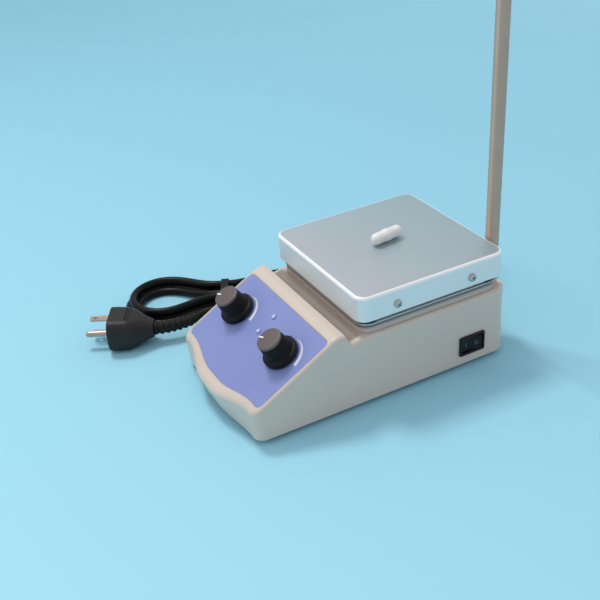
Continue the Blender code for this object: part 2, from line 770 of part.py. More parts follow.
def make_feet():
    high = cover_low - SEAT_GAP
    for name, x, y in foot_places():
        profile = [(bore_radius, high), (bore_radius, FOOT_SINK_DEPTH), (FOOT_SINK_RADIUS, FOOT_SINK_DEPTH),
                   (FOOT_SINK_RADIUS, 0), (FOOT_RADIUS - FOOT_TAPER, 0), (FOOT_RADIUS, FOOT_TAPER),
                   (FOOT_RADIUS, high)]
        piece(f"foot_{name}", turned(profile, BORE_STEPS), RUBBER, place=(x, y, 0))
        seat = FOOT_SINK_DEPTH - SEAT_GAP
        grip = cover_top + SCREW_GRIP - OVERRUN - seat
        piece(f"foot_screw_{name}", screw_form(grip), ZINC, place=(x, y, seat), turn=(math.pi, 0, 0))


# Panel, lamps and controls

def make_panel():
    low = panel_face - PANEL_THICKNESS
    panel = piece("front_panel", prism(panel_outline(0), low, panel_face), PANEL_BLUE, slope)
    cut(panel, slope_holes(low - OVERRUN, panel_face + OVERRUN), slope)
    for name, rise in (("power_lamp", POWER_LAMP_RISE), ("heat_lamp", HEAT_LAMP_RISE)):
        inner = -slope_wall - SEAT_GAP
        top = panel_face + LAMP_STAND
        profile = [(0, inner - LAMP_BODY_DEPTH), (LAMP_RADIUS, inner - LAMP_BODY_DEPTH),
                   (LAMP_RADIUS, inner - LAMP_FLANGE_HEIGHT), (LAMP_FLANGE_RADIUS, inner - LAMP_FLANGE_HEIGHT),
                   (LAMP_FLANGE_RADIUS, inner), (LAMP_RADIUS, inner)]
        for step in range(ROUND_STEPS + 1):
            angle = math.pi / 2 * step / ROUND_STEPS
            profile.append((LAMP_RADIUS * math.cos(angle), top + LAMP_RADIUS / 2 * math.sin(angle)))
        profile[-1] = (0, profile[-1][1])
        piece(name, turned(profile, SCREW_STEPS), LENS, slope, (LAMP_X, rise, 0))


def knob_profile():
    """The knob's half section: a flared skirt, a tapering grip, and hollows below and above."""
    low = panel_face + KNOB_LIFT
    bore = SHAFT_RADIUS + SEAT_GAP
    top = low + KNOB_HEIGHT
    sink = top - CAP_SINK
    bore_top = SHAFT_STAND + SEAT_GAP
    flare = SKIRT_RADIUS - KNOB_FOOT_RADIUS
    lip = SKIRT_HEIGHT / 4
    points = [(0, bore_top), (bore, bore_top), (bore, low + KNOB_HOLLOW_DEPTH),
              (KNOB_HOLLOW_RADIUS, low + KNOB_HOLLOW_DEPTH), (KNOB_HOLLOW_RADIUS, low)]
    points += [(SKIRT_RADIUS - lip, low), (SKIRT_RADIUS, low + lip), (SKIRT_RADIUS, low + SKIRT_HEIGHT - lip),
               (SKIRT_RADIUS - lip, low + SKIRT_HEIGHT)]
    for step in range(1, ROUND_STEPS + 1):
        angle = math.pi / 2 * step / ROUND_STEPS
        points.append((SKIRT_RADIUS - lip - (flare - lip) * math.sin(angle),
                       low + SKIRT_HEIGHT + (flare - lip) * (1 - math.cos(angle))))
    points += [(KNOB_TOP_RADIUS, top - CAP_BEVEL), (KNOB_TOP_RADIUS - CAP_BEVEL, top),
               (CAP_RADIUS + SEAT_GAP, top), (CAP_RADIUS + SEAT_GAP, sink), (0, sink)]
    return points


def make_control(name, x):
    """One control: potentiometer and nut, which stay still, and shaft, knob and cap, which turn."""
    place = (x, KNOB_RISE, 0)
    inner = -slope_wall - SEAT_GAP
    bore = SHAFT_RADIUS + SEAT_GAP
    case = prism(rounded_rectangle(POT_SIDE, POT_SIDE, POT_CORNER), inner - POT_DEPTH, inner)
    pot = piece(f"{name}_potentiometer", case, ZINC, slope, place)
    fuse(pot, drum(BUSH_RADIUS, inner - POT_DEPTH / 4, BUSH_STAND))
    cut(pot, [drum(bore, inner - SHAFT_SOCKET - SEAT_GAP, BUSH_STAND + OVERRUN)])
    nut_low = panel_face + SEAT_GAP
    nut = piece(f"{name}_pot_nut", prism(hexagon(POT_NUT_ACROSS), nut_low, nut_low + POT_NUT_HEIGHT), ZINC,
                slope, place)
    cut(nut, [drum(BUSH_RADIUS + SEAT_GAP, nut_low - OVERRUN, nut_low + POT_NUT_HEIGHT + OVERRUN)])
    piece(f"{name}_shaft", drum(SHAFT_RADIUS, inner - SHAFT_SOCKET, SHAFT_STAND), ZINC, slope, place)
    piece(f"{name}_knob", turned(knob_profile()), BLACK, slope, place)
    low = panel_face + KNOB_LIFT + KNOB_HEIGHT - CAP_SINK + SEAT_GAP
    top = low + CAP_THICKNESS
    disc = turned([(0, low), (CAP_RADIUS, low), (CAP_RADIUS, top - CAP_BEVEL), (CAP_RADIUS - CAP_BEVEL, top),
                   (0, top)])
    cap = piece(f"{name}_knob_cap", disc, CAP_METAL, slope, place, (0, 0, POINTER_AT_REST))
    notch = block((POINTER_LENGTH + OVERRUN, POINTER_WIDTH, POINTER_DEPTH + OVERRUN),
                  (CAP_RADIUS - POINTER_LENGTH, -POINTER_WIDTH / 2, top - POINTER_DEPTH))
    cut(cap, [notch])


# Mains switch

def make_switch():
    face_x = wall_x + SEAT_GAP
    bezel = prism(rounded_rectangle(BEZEL_HEIGHT, BEZEL_LENGTH, BEZEL_CORNER), 0, BEZEL_THICKNESS)
    frame = piece("switch_frame", lying_along_x(bezel), BLACK, place=(face_x, SWITCH_Y, SWITCH_Z))
    outer = rounded_rectangle(WELL_HEIGHT + 2 * WELL_WALL, WELL_LENGTH + 2 * WELL_WALL, BEZEL_CORNER)
    fuse(frame, lying_along_x(prism(outer, -WELL_DEPTH - SWITCH_BACK, BEZEL_THICKNESS / 2)))
    well = rounded_rectangle(WELL_HEIGHT, WELL_LENGTH, BEZEL_CORNER / 2)
    cut(frame, [lying_along_x(prism(well, -WELL_DEPTH, BEZEL_THICKNESS + OVERRUN))])
    pivot = BEZEL_THICKNESS - ROCKER_SINK - ROCKER_PIVOT_DEPTH
    span = WELL_HEIGHT + 2 * WELL_WALL + 2 * OVERRUN
    hole = drum(TRUNNION_RADIUS + SEAT_GAP, -span / 2, span / 2, BORE_STEPS // 2)
    cut(frame, [shifted(hole, pivot, 0, 0)])
    half = ROCKER_LENGTH / 2
    rise = half * math.tan(ROCKER_DISH)
    outline = [(-ROCKER_KEEL, -half / 3), (0, -half), (ROCKER_PIVOT_DEPTH + rise, -half), (ROCKER_PIVOT_DEPTH, 0),
               (ROCKER_PIVOT_DEPTH + rise, half), (0, half), (-ROCKER_KEEL, half / 3)]
    rocker = piece("switch_rocker", prism(outline[::-1], -ROCKER_HEIGHT / 2, ROCKER_HEIGHT / 2), BLACK,
                   place=(face_x + pivot, SWITCH_Y, SWITCH_Z), turn=(0, 0, -ROCKER_DISH))
    trunnion = WELL_HEIGHT / 2 + TRUNNION_LENGTH
    fuse(rocker, drum(TRUNNION_RADIUS, -trunnion, trunnion, BORE_STEPS // 2))


# Control board

def make_board():
    low = cover_top + POST_HEIGHT + SEAT_GAP
    board = piece("control_board", block((BOARD_WIDTH, BOARD_DEPTH, BOARD_THICKNESS),
                                         (-BOARD_WIDTH / 2, -BOARD_REACH - BOARD_DEPTH / 2, low)), BOARD_GREEN)
    seat = low + BOARD_THICKNESS - BLOCK_EMBED
    front = -BOARD_REACH - BOARD_DEPTH / 2 + POST_INSET
    rear = -BOARD_REACH + BOARD_DEPTH / 2 - POST_INSET
    fuse(board, block(TRANSFORMER, (-TRANSFORMER[0] / 2, -BOARD_REACH - TRANSFORMER[1] / 2, seat)))
    fuse(board, block(TERMINAL_BLOCK, (-TERMINAL_BLOCK[0] / 2, rear - TERMINAL_BLOCK[1] + POST_INSET / 2, seat)))
    fuse(board, block(HEAT_SINK, (-HEAT_SINK[0] / 2, front, seat)))


# Drive

def make_drive():
    heading = (0, 0, BAR_HEADING)
    bore = MOTOR_SHAFT_RADIUS + SEAT_GAP
    low = motor_top - MOTOR_HEIGHT
    can_top = motor_top - MOTOR_EAR_THICKNESS / 2
    nose_top = motor_top + MOTOR_NOSE_HEIGHT
    rim = MOTOR_RADIUS - MOTOR_RIM
    profile = [(0, low), (rim, low), (MOTOR_RADIUS, low + MOTOR_RIM), (MOTOR_RADIUS, can_top - MOTOR_RIM),
               (rim, can_top), (MOTOR_NOSE_RADIUS, can_top), (MOTOR_NOSE_RADIUS, nose_top), (0, nose_top)]
    motor = piece("motor", turned(profile), ZINC)
    ears = arc((MOTOR_EAR_REACH, 0), MOTOR_EAR_RADIUS, -math.pi / 2, math.pi / 2, 2 * ROUND_STEPS)
    ears += arc((-MOTOR_EAR_REACH, 0), MOTOR_EAR_RADIUS, math.pi / 2, math.pi * 3 / 2, 2 * ROUND_STEPS)
    ear_low = motor_top - MOTOR_EAR_THICKNESS
    fuse(motor, prism(ears, ear_low, motor_top))
    holes = [drum(bore, motor_top - MOTOR_SHAFT_SOCKET - SEAT_GAP, nose_top + OVERRUN)]
    for side in (-1, 1):
        hole = drum(bore_radius, ear_low - OVERRUN, motor_top + OVERRUN, SCREW_STEPS)
        holes.append(shifted(hole, side * MOTOR_EAR_REACH, 0, 0))
    cut(motor, holes)
    for name, side in (("left", -1), ("right", 1)):
        grip = MOTOR_EAR_THICKNESS + MOTOR_BOSS_LENGTH - OVERRUN
        piece(f"motor_screw_{name}", screw_form(grip), ZINC, place=(side * MOTOR_EAR_REACH, 0, ear_low - SEAT_GAP),
              turn=(math.pi, 0, 0))
    piece("motor_shaft", drum(MOTOR_SHAFT_RADIUS, motor_top - MOTOR_SHAFT_SOCKET, shaft_top), STEEL)
    bar = prism(rounded_rectangle(HOLDER_LENGTH, HOLDER_WIDTH, HOLDER_WIDTH / 2 - MERGE_WITHIN), holder_low,
                holder_low + HOLDER_THICKNESS)
    holder = piece("magnet_holder", bar, ALUMINIUM, turn=heading)
    fuse(holder, drum(HUB_RADIUS, holder_low - HUB_DROP, holder_low + HOLDER_THICKNESS / 2))
    holder_top = holder_low + HOLDER_THICKNESS
    hollows = [drum(bore, holder_low - HUB_DROP - OVERRUN, holder_top + OVERRUN)]
    for side in (-1, 1):
        pocket = drum(MAGNET_RADIUS + SEAT_GAP, holder_top - MAGNET_SINK, holder_top + OVERRUN)
        hollows.append(shifted(pocket, side * MAGNET_X, 0, 0))
    cut(holder, hollows)
    magnet_low = holder_top - MAGNET_SINK + SEAT_GAP
    for name, side in (("north", 1), ("south", -1)):
        place = Matrix.Rotation(BAR_HEADING, 3, "Z") @ Vector((side * MAGNET_X, 0, magnet_low))
        piece(f"magnet_{name}", drum(MAGNET_RADIUS, 0, MAGNET_HEIGHT), FERRITE, place=place)


# Heating head

def make_tray():
    low = DECK_HEIGHT + SEAT_GAP
    top = low + TRAY_HEIGHT
    lip = rounded_rectangle(tray_side, tray_side, TRAY_CORNER)
    wall_side = tray_side - 2 * TRAY_LIP
    wall = rounded_rectangle(wall_side, wall_side, TRAY_CORNER - TRAY_LIP)
    lip_low = top - TRAY_LIP_HEIGHT
    tray = piece("plate_tray", skin([level(wall, low), level(wall, lip_low), level(lip, lip_low), level(lip, top)]),
                 ZINC)
    inner_side = tray_side - 2 * TRAY_WALL
    inner = rounded_rectangle(inner_side, inner_side, TRAY_CORNER - TRAY_WALL)
    cut(tray, [prism(inner, tray_floor, top + OVERRUN)])
    holes = [drum(ROTOR_HOLE_RADIUS, low - OVERRUN, tray_floor + OVERRUN)]
    for side in (-1, 1):
        hole = drum(bore_radius, low - OVERRUN, tray_floor + OVERRUN, SCREW_STEPS)
        holes.append(shifted(hole, side * tray_screw_x, 0, 0))
    cut(tray, holes)


def bracket_path():
    """The bent bracket's middle line, seen from the front: toe, web, joggle past the tray's rim, shelf."""
    half_sheet = BRACKET_SHEET / 2
    toe_z = tray_floor + SEAT_GAP + half_sheet
    web_x = tray_side / 2 - TRAY_WALL - SEAT_GAP - half_sheet
    skirt_x = PLATE_SIDE / 2 - PLATE_WALL - SEAT_GAP - half_sheet
    joggle_z = DECK_HEIGHT + SEAT_GAP + TRAY_HEIGHT + BRACKET_JOGGLE_GAP
    shelf_z = pad_low() - SEAT_GAP - half_sheet
    return [(web_x - BRACKET_TOE, toe_z), (web_x, toe_z), (web_x, joggle_z),
            (skirt_x, joggle_z + BRACKET_JOGGLE_RISE), (skirt_x, shelf_z), (skirt_x - BRACKET_SHELF, shelf_z)]


def element_low():
    return plate_top - PLATE_FACE - SEAT_GAP - ELEMENT_THICKNESS


def pad_low():
    return element_low() - SEAT_GAP - PAD_THICKNESS


def make_brackets():
    toe_top = tray_floor + SEAT_GAP + BRACKET_SHEET
    for name, side in (("left", -1), ("right", 1)):
        path = [(side * x, z) for x, z in bracket_path()]
        form = prism(strip_outline(path, BRACKET_SHEET), -bracket_length / 2, bracket_length / 2)
        form = moved(form, Matrix.Rotation(math.pi / 2, 4, "X"))
        bmesh.ops.recalc_face_normals(form, faces=form.faces)
        bracket = piece(f"plate_bracket_{name}", form, ZINC)
        hole = drum(bore_radius, tray_floor - OVERRUN, toe_top + OVERRUN, SCREW_STEPS)
        holes = [shifted(hole, side * tray_screw_x, 0, 0)]
        for along in (-1, 1):
            hole = lying_along_x(drum(bore_radius, -OVERRUN, OVERRUN, SCREW_STEPS))
            web = side * bracket_path()[4][0]
            holes.append(shifted(hole, web, along * PLATE_SCREW_Y, plate_screw_z))
        cut(bracket, holes)
        piece(f"tray_screw_{name}", screw_form(TRAY_SCREW_GRIP), ZINC,
              place=(side * tray_screw_x, 0, toe_top + SEAT_GAP))


def make_plate():
    rings = [level(rounded_rectangle(PLATE_SIDE, PLATE_SIDE, PLATE_CORNER), plate_foot)]
    for step in range(ROUND_STEPS + 1):
        angle = math.pi / 2 * step / ROUND_STEPS
        inset = PLATE_EDGE_ROUND * (1 - math.cos(angle))
        z = plate_top - PLATE_EDGE_ROUND * (1 - math.sin(angle))
        side = PLATE_SIDE - 2 * inset
        rings.append(level(rounded_rectangle(side, side, PLATE_CORNER - inset), z))
    plate = piece("heating_plate", skin(rings), ALUMINIUM)
    cut(plate, [prism(rounded_rectangle(plate_inside, plate_inside, PLATE_CORNER - PLATE_WALL),
                      plate_foot - OVERRUN, plate_top - PLATE_FACE)])
    holes = []
    for side in (-1, 1):
        for along in (-1, 1):
            hole = lying_along_x(drum(bore_radius, -PLATE_WALL - OVERRUN, OVERRUN, SCREW_STEPS))
            x = side * PLATE_SIDE / 2 + (0 if side > 0 else PLATE_WALL)
            holes.append(shifted(hole, x, along * PLATE_SCREW_Y, plate_screw_z))
    cut(plate, holes)
    piece("heater_element", prism(rounded_rectangle(element_side, element_side, PLATE_CORNER), element_low(),
                                  element_low() + ELEMENT_THICKNESS), MICA)
    piece("insulation_pad", prism(rounded_rectangle(pad_side, pad_side, PLATE_CORNER), pad_low(),
                                  pad_low() + PAD_THICKNESS), FELT)
    grip = PLATE_WALL + SEAT_GAP + BRACKET_SHEET + OVERRUN
    for name, side in (("left", -1), ("right", 1)):
        for along_name, along in (("front", -1), ("rear", 1)):
            piece(f"plate_screw_{along_name}_{name}", screw_form(grip, PLATE_SCREW_HEAD), STEEL,
                  place=(side * (PLATE_SIDE / 2 + SEAT_GAP), along * PLATE_SCREW_Y, plate_screw_z),
                  turn=(0, side * math.pi / 2, 0))


# Support rod

def make_rod():
    seat = LUG_TOP + SEAT_GAP
    top = seat + ROD_LENGTH
    profile = [(0, seat - STUD_LENGTH), (STUD_RADIUS - ROD_CHAMFER, seat - STUD_LENGTH),
               (STUD_RADIUS, seat - STUD_LENGTH + ROD_CHAMFER), (STUD_RADIUS, seat), (ROD_RADIUS, seat),
               (ROD_RADIUS, top - ROD_CHAMFER), (ROD_RADIUS - ROD_CHAMFER, top), (0, top)]
    piece("support_rod", turned(profile), STEEL, place=(ROD_X, rod_y, 0))
    high = LUG_TOP - LUG_HEIGHT - SEAT_GAP
    nut = piece("rod_nut", prism(hexagon(ROD_NUT_ACROSS), high - ROD_NUT_HEIGHT, high), ZINC,
                place=(ROD_X, rod_y, 0))
    cut(nut, [drum(STUD_RADIUS + SEAT_GAP, high - ROD_NUT_HEIGHT - OVERRUN, high + OVERRUN)])


# Stir bar

def make_stir_bar():
    half = BAR_LENGTH / 2
    ring = BAR_RING_WIDTH / 2
    profile = []
    for step in range(2 * ROUND_STEPS + 1):
        angle = math.pi / 2 * step / (2 * ROUND_STEPS)
        profile.append((BAR_RADIUS * math.sin(angle), -half + BAR_RADIUS * (1 - math.cos(angle))))
    rise = BAR_RING_RADIUS - BAR_RADIUS
    profile += [(BAR_RADIUS, -ring - rise), (BAR_RING_RADIUS, -ring)]
    profile += [(radius, -z) for radius, z in reversed(profile)]
    form = moved(turned(profile, BORE_STEPS), Matrix.Rotation(math.pi / 2, 4, "Y"))
    piece("stir_bar", form, PTFE, place=(0, 0, plate_top + SEAT_GAP + BAR_RING_RADIUS), turn=(0, 0, BAR_HEADING))


# Cord

def gland_form():
    """The strain relief: a flange inside the wall, a flange outside and a ribbed tapering tail."""
    inner = rear_reach - WALL - SEAT_GAP
    outer = rear_reach + SEAT_GAP
    profile = [(0, inner - GLAND_FLANGE), (GLAND_FLANGE_RADIUS, inner - GLAND_FLANGE), (GLAND_FLANGE_RADIUS, inner),
               (GLAND_RADIUS, inner), (GLAND_RADIUS, outer), (GLAND_FLANGE_RADIUS, outer),
               (GLAND_FLANGE_RADIUS, outer + GLAND_FLANGE)]
    start = outer + GLAND_FLANGE
    rib = (GLAND_LENGTH - GLAND_FLANGE) / GLAND_RIBS
    for index in range(GLAND_RIBS):
        radius = GLAND_RADIUS + (GLAND_TAIL_RADIUS - GLAND_RADIUS) * index / GLAND_RIBS
        low = start + index * rib
        profile += [(radius, low), (radius, low + rib / 2), (radius - GLAND_RIB_DEPTH, low + rib / 2),
                    (radius - GLAND_RIB_DEPTH, low + rib)]
    profile.append((0, start + GLAND_RIBS * rib))
    return lying_along_y(turned(profile, BORE_STEPS))


hank_along = Vector((math.cos(HANK_HEADING), math.sin(HANK_HEADING), 0))
hank_aside = Vector((math.sin(HANK_HEADING), -math.cos(HANK_HEADING), 0))
hank_middle = Vector((HANK_X, HANK_Y, 0))


def waist(along):
    """How far the tie draws the runs in, from one under the tie to zero at the folds."""
    share = min(max((abs(along) - HANK_TIED) / (HANK_RUN / 2 - HANK_TIED), 0), 1)
    return math.cos(math.pi / 2 * share) ** 2


def hank_place(along, aside, height):
    """A place beside the hank: along its runs to the back, aside to the right, and up."""
    return hank_middle + hank_along * along + hank_aside * aside + Vector((0, 0, height))


def hank_spot(turn):
    """The cord's centre at a turn of the hank, counted from the middle of the near run."""
    if turn <= HANK_REVERSE_TURN:
        radius = hank_outer_radius - HANK_PITCH * turn
    else:
        radius = HANK_INNER_RADIUS + HANK_PITCH * (turn - HANK_REVERSE_TURN)
    phase = 8 * (turn % 1.0)
    half = HANK_RUN / 2
    if phase < 1:
        along, aside = -half * phase, radius
    elif phase < 3:
        angle = math.pi * (phase - 1) / 2
        along, aside = -half - radius * math.sin(angle), radius * math.cos(angle)
    elif phase < 5:
        along, aside = half * (phase - 4), -radius
    elif phase < 7:
        angle = math.pi * (phase - 5) / 2
        along, aside = half + radius * math.sin(angle), -radius * math.cos(angle)
    else:
        along, aside = half * (8 - phase), radius
    drawn = waist(along)
    aside -= math.copysign(HANK_WAIST * drawn, aside)
    climb = min(max((turn - HANK_REVERSE_TURN) * 4 + 0.5, 0), 1)
    height = layer_low + HANK_LAYER * climb * climb * (3 - 2 * climb) + HANK_LIFT * drawn
    return hank_place(along, aside, height)


def hank_route():
    """The hank's route: even steps round each fold, a few points on each half run, straight ends."""
    tied = HANK_TIED / (HANK_RUN / 2)
    stops = [tied + (1 - tied) * step / HANK_RUN_STEPS for step in range(HANK_RUN_STEPS + 1)]
    fold = [2 * step / HANK_FOLD_STEPS for step in range(1, HANK_FOLD_STEPS)]
    phases = stops + [1 + step for step in fold]
    phases += [4 - stop for stop in reversed(stops)] + [4 + stop for stop in stops]
    phases += [5 + step for step in fold] + [8 - stop for stop in reversed(stops)]
    turns = [loop + phase / 8 for loop in range(-1, HANK_LOOPS) for phase in phases]
    first = HANK_START_TURN - MERGE_WITHIN
    last = HANK_LOOPS + HANK_START_TURN + MERGE_WITHIN
    route = [hank_spot(turn) for turn in turns if first < turn < last]
    straight = hank_along * (2 * CORD_RADIUS)
    return [route[0] + straight] + route + [route[-1] - straight]


def self_gap(route):
    """The least clear distance between stretches of the hank that aren't neighbours."""
    spots = []
    reach = []
    passed = 0.0
    for first, second in zip(route, route[1:]):
        count = max(1, round((second - first).length / (CORD_RADIUS / 2)))
        for step in range(count):
            spots.append(first.lerp(second, step / count))
            reach.append(passed + (second - first).length * step / count)
        passed += (second - first).length
    spots = np.array(spots)
    reach = np.array(reach)
    away = np.linalg.norm(spots[:, None] - spots[None, :], axis=2)
    apart = np.abs(reach[:, None] - reach[None, :]) > HANK_RUN / 2
    return float(away[apart].min()) - 2 * CORD_RADIUS


def smooth_route(points, step):
    """Points at even steps on a smooth curve through the route's own points, straight at both ends."""
    knots = [Vector(point) for point in points]
    fine = []
    for first, second, third, fourth in zip(knots, knots[1:], knots[2:], knots[3:]):
        for index in range(CORNER_STEPS * 4):
            t = index / (CORNER_STEPS * 4)
            fine.append(0.5 * (2 * second + (third - first) * t
                               + (2 * first - 5 * second + 4 * third - fourth) * t ** 2
                               + (3 * second - first - 3 * third + fourth) * t ** 3))
    fine.append(knots[-2])
    reach = [0.0]
    for first, second in zip(fine, fine[1:]):
        reach.append(reach[-1] + (second - first).length)
    count = max(2, round(reach[-1] / step))
    wanted = np.linspace(0, reach[-1], count + 1)
    curve = [Vector([float(np.interp(at, reach, [spot[axis] for spot in fine])) for axis in range(3)])
             for at in wanted]
    return [knots[0]] + curve + [knots[-1]]


def tube(name, route, material, resolution, radii=None):
    """A cord along a route, as a bevelled curve with closed ends."""
    curve = bpy.data.curves.new(name, "CURVE")
    curve.dimensions = "3D"
    curve.bevel_depth = CORD_RADIUS
    curve.bevel_resolution = resolution
    curve.use_fill_caps = True
    curve.twist_mode = "Z_UP"
    spline = curve.splines.new("POLY")
    spline.points.add(len(route) - 1)
    for index, spot in enumerate(route):
        spline.points[index].co = (*spot, 1.0)
        spline.points[index].radius = radii[index] / CORD_RADIUS if radii else 1.0
    spline.use_smooth = True
    curve.materials.append(material)
    thing = bpy.data.objects.new(name, curve)
    bpy.context.scene.collection.objects.link(thing)
    thing.parent = bench
    return thing


def lead_points(hank):
    """The cord from the gland round the housing's rear left corner to the hank."""
    exit_y = rear_reach + SEAT_GAP + GLAND_LENGTH + SEAT_GAP
    route = [(x, exit_y + behind, z) for x, behind, z in LEAD_ROUTE]
    return ([(GLAND_X, exit_y, GLAND_Z)] + route
            + [tuple(hank[0] + hank_along * (2 * CORD_RADIUS)), tuple(hank[0] + hank_along * SEAT_GAP)])


plug_out = Vector((math.cos(PLUG_HEADING), math.sin(PLUG_HEADING), 0))
plug_aside = Vector((-math.sin(PLUG_HEADING), math.cos(PLUG_HEADING), 0))
plug_face = Vector((PLUG_X, PLUG_Y, PLUG_HEIGHT / 2 + PLUG_LIFT))


def relief_spot(share):
    """A place on the bent strain relief, from the plug's back at zero to its tail at one."""
    radius = RELIEF_LENGTH / RELIEF_BEND
    turned_by = RELIEF_BEND * share
    start = plug_face - plug_out * (PLUG_LENGTH + SEAT_GAP)
    across = -plug_aside
    spot = start - plug_out * (radius * math.sin(turned_by)) + across * (radius * (1 - math.cos(turned_by)))
    return spot


def relief_tail():
    """The tail's place and the direction in which the cord leaves it."""
    turned_by = RELIEF_BEND
    heading = -plug_out * math.cos(turned_by) - plug_aside * math.sin(turned_by)
    return relief_spot(1.0), heading


def make_cord():
    piece("cord_gland", gland_form(), RUBBER, place=(GLAND_X, 0, GLAND_Z))
    hank = hank_route()
    lead = smooth_route(lead_points(hank), CORD_STEP)
    tube("cord_lead", lead, CORD_BLACK, 2)
    tube("cord_hank", hank, CORD_BLACK, 1)
    gap = self_gap(hank)
    print(f"hank: least gap to itself {1000 * gap:.2f} mm")
    if gap < LEAST_SELF_GAP:
        print("hank: the runs are too close")
    tail, heading = relief_tail()
    straight = 2 * CORD_RADIUS
    plug_lead = smooth_route([hank[-1] - hank_along * SEAT_GAP, hank[-1] - hank_along * straight,
                              *[hank_place(*place) for place in PLUG_LEAD_ROUTE],
                              tail + heading * straight, tail + heading * SEAT_GAP], CORD_STEP / 2)
    tube("plug_lead", plug_lead, CORD_BLACK, 2)
    total = 0.0
    for route in (lead, hank, plug_lead):
        total += sum((second - first).length for first, second in zip(route, route[1:]))
    print(f"cord: {total:.3f} m from the gland to the plug's relief")
    make_tie()


def make_tie():
    """A strap round the waist of the hank."""
    drawn = HANK_WAIST
    near = hank_outer_radius - drawn + CORD_RADIUS + TIE_GAP
    far = -(hank_outer_radius - HANK_PITCH / 2 - drawn + CORD_RADIUS + TIE_GAP)
    low = HANK_LIFT - TIE_GAP
    high = HANK_LIFT + HANK_LAYER + 2 * CORD_RADIUS + TIE_GAP
    middle = ((near + far) / 2, (low + high) / 2)
    inner = rounded_rectangle(near - far, high - low, TIE_CORNER, middle)
    outer = rounded_rectangle(near - far + 2 * TIE_THICKNESS, high - low + 2 * TIE_THICKNESS,
                              TIE_CORNER + TIE_THICKNESS, middle)
    form = collar(outer, inner, -TIE_WIDTH / 2, TIE_WIDTH / 2)
    to_bench = Matrix((hank_aside, Vector((0, 0, 1)), hank_along)).transposed().to_4x4()
    moved(form, Matrix.Translation(hank_middle) @ to_bench)
    bmesh.ops.recalc_face_normals(form, faces=form.faces)
    piece("cord_tie", form, RUBBER)


# Plug

PLUG_SECTION_SHARES = ((0.0, 0.95, 0.94), (0.035, 1.0, 1.0), (0.42, 0.98, 0.98), (0.66, 0.80, 0.84),
                       (0.86, 0.52, 0.60), (1.0, 0.42, 0.50))
PLUG_ROUNDEST_SHARE = 0.4545
RELIEF_RIB_SHARES = (0.0, 0.45, 0.55, 0.9)


def to_plug():
    """From the plug's own frame, X aside, Y up and Z out of the face, to the bench."""
    turn = Matrix((plug_aside, Vector((0, 0, 1)), plug_out)).transposed().to_4x4()
    return Matrix.Translation(plug_face) @ turn


def prong_forms(grow):
    """(name, form) of the two blades and the earth pin in the plug's own frame, each grown by a clearance."""
    root = -PRONG_ROOT - grow
    for name, side in (("live", 1), ("neutral", -1)):
        width = BLADE_WIDTH + 2 * grow
        thickness = BLADE_THICKNESS + 2 * grow
        low = (-BLADE_ASIDE - width / 2, side * BLADE_SPACING / 2 - thickness / 2, root)
        yield f"plug_blade_{name}", block((width, thickness, BLADE_LENGTH - root), low)
    tip = PIN_RADIUS / 2
    profile = [(0, root), (PIN_RADIUS + grow, root), (PIN_RADIUS + grow, PIN_LENGTH - tip), (tip, PIN_LENGTH),
               (0, PIN_LENGTH)]
    yield "plug_earth_pin", shifted(turned(profile, BORE_STEPS), PIN_ASIDE, 0, 0)


def make_plug():
    rings = []
    for along, wide, high in PLUG_SECTION_SHARES:
        width = PLUG_WIDTH * wide
        height = PLUG_HEIGHT * high
        corner = min(PLUG_CORNER, PLUG_ROUNDEST_SHARE * width, PLUG_ROUNDEST_SHARE * height)
        rings.append(level(rounded_rectangle(width, height, corner), -PLUG_LENGTH * along))
    body = piece("plug_body", moved(skin(rings[::-1]), to_plug()), BLACK)
    cut(body, [moved(form, to_plug()) for _, form in prong_forms(PRONG_FIT)])
    for name, form in prong_forms(0.0):
        prong = piece(name, moved(form, to_plug()), BRASS)
        if "blade" in name:
            side = 1 if "live" in name else -1
            hole = moved(drum(BLADE_HOLE_RADIUS, -OVERRUN, OVERRUN), Matrix.Rotation(math.pi / 2, 4, "X"))
            shifted(hole, -BLADE_ASIDE, side * BLADE_SPACING / 2, BLADE_LENGTH - BLADE_HOLE_FROM_TIP)
            cut(prong, [moved(hole, to_plug())])
    route = []
    radii = []
    for index in range(RELIEF_RIBS):
        share = index / RELIEF_RIBS
        radius = RELIEF_RADIUS + (RELIEF_TAIL_RADIUS - RELIEF_RADIUS) * share
        for index_in_rib, part_share in enumerate(RELIEF_RIB_SHARES):
            route.append(relief_spot(share + part_share / RELIEF_RIBS))
            radii.append(radius if index_in_rib < 2 else radius - RELIEF_RIB_DEPTH)
    route.append(relief_spot(1.0))
    radii.append(RELIEF_TAIL_RADIUS)
    tube("plug_relief", route, BLACK, 2, radii)


make_housing()
make_base_cover()
make_feet()
make_panel()
make_control("stir", -KNOB_X)
make_control("heat", KNOB_X)
make_switch()
make_board()
make_drive()
make_tray()
make_brackets()
make_plate()
make_rod()
make_stir_bar()
make_cord()
make_plug()
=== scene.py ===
# %% [markdown]
# A small laboratory hotplate stirrer: a sloping control panel, a square heating plate over a cast housing,
# an upright rod for clamps and a mains cord that lies bundled beside it. The solid model is loaded as a
# fixed frame. Each piece below either gives a solid its finish or stands in its place with finer shape.

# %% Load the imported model
import math

import bmesh
import bpy
from mathutils import Matrix, Vector


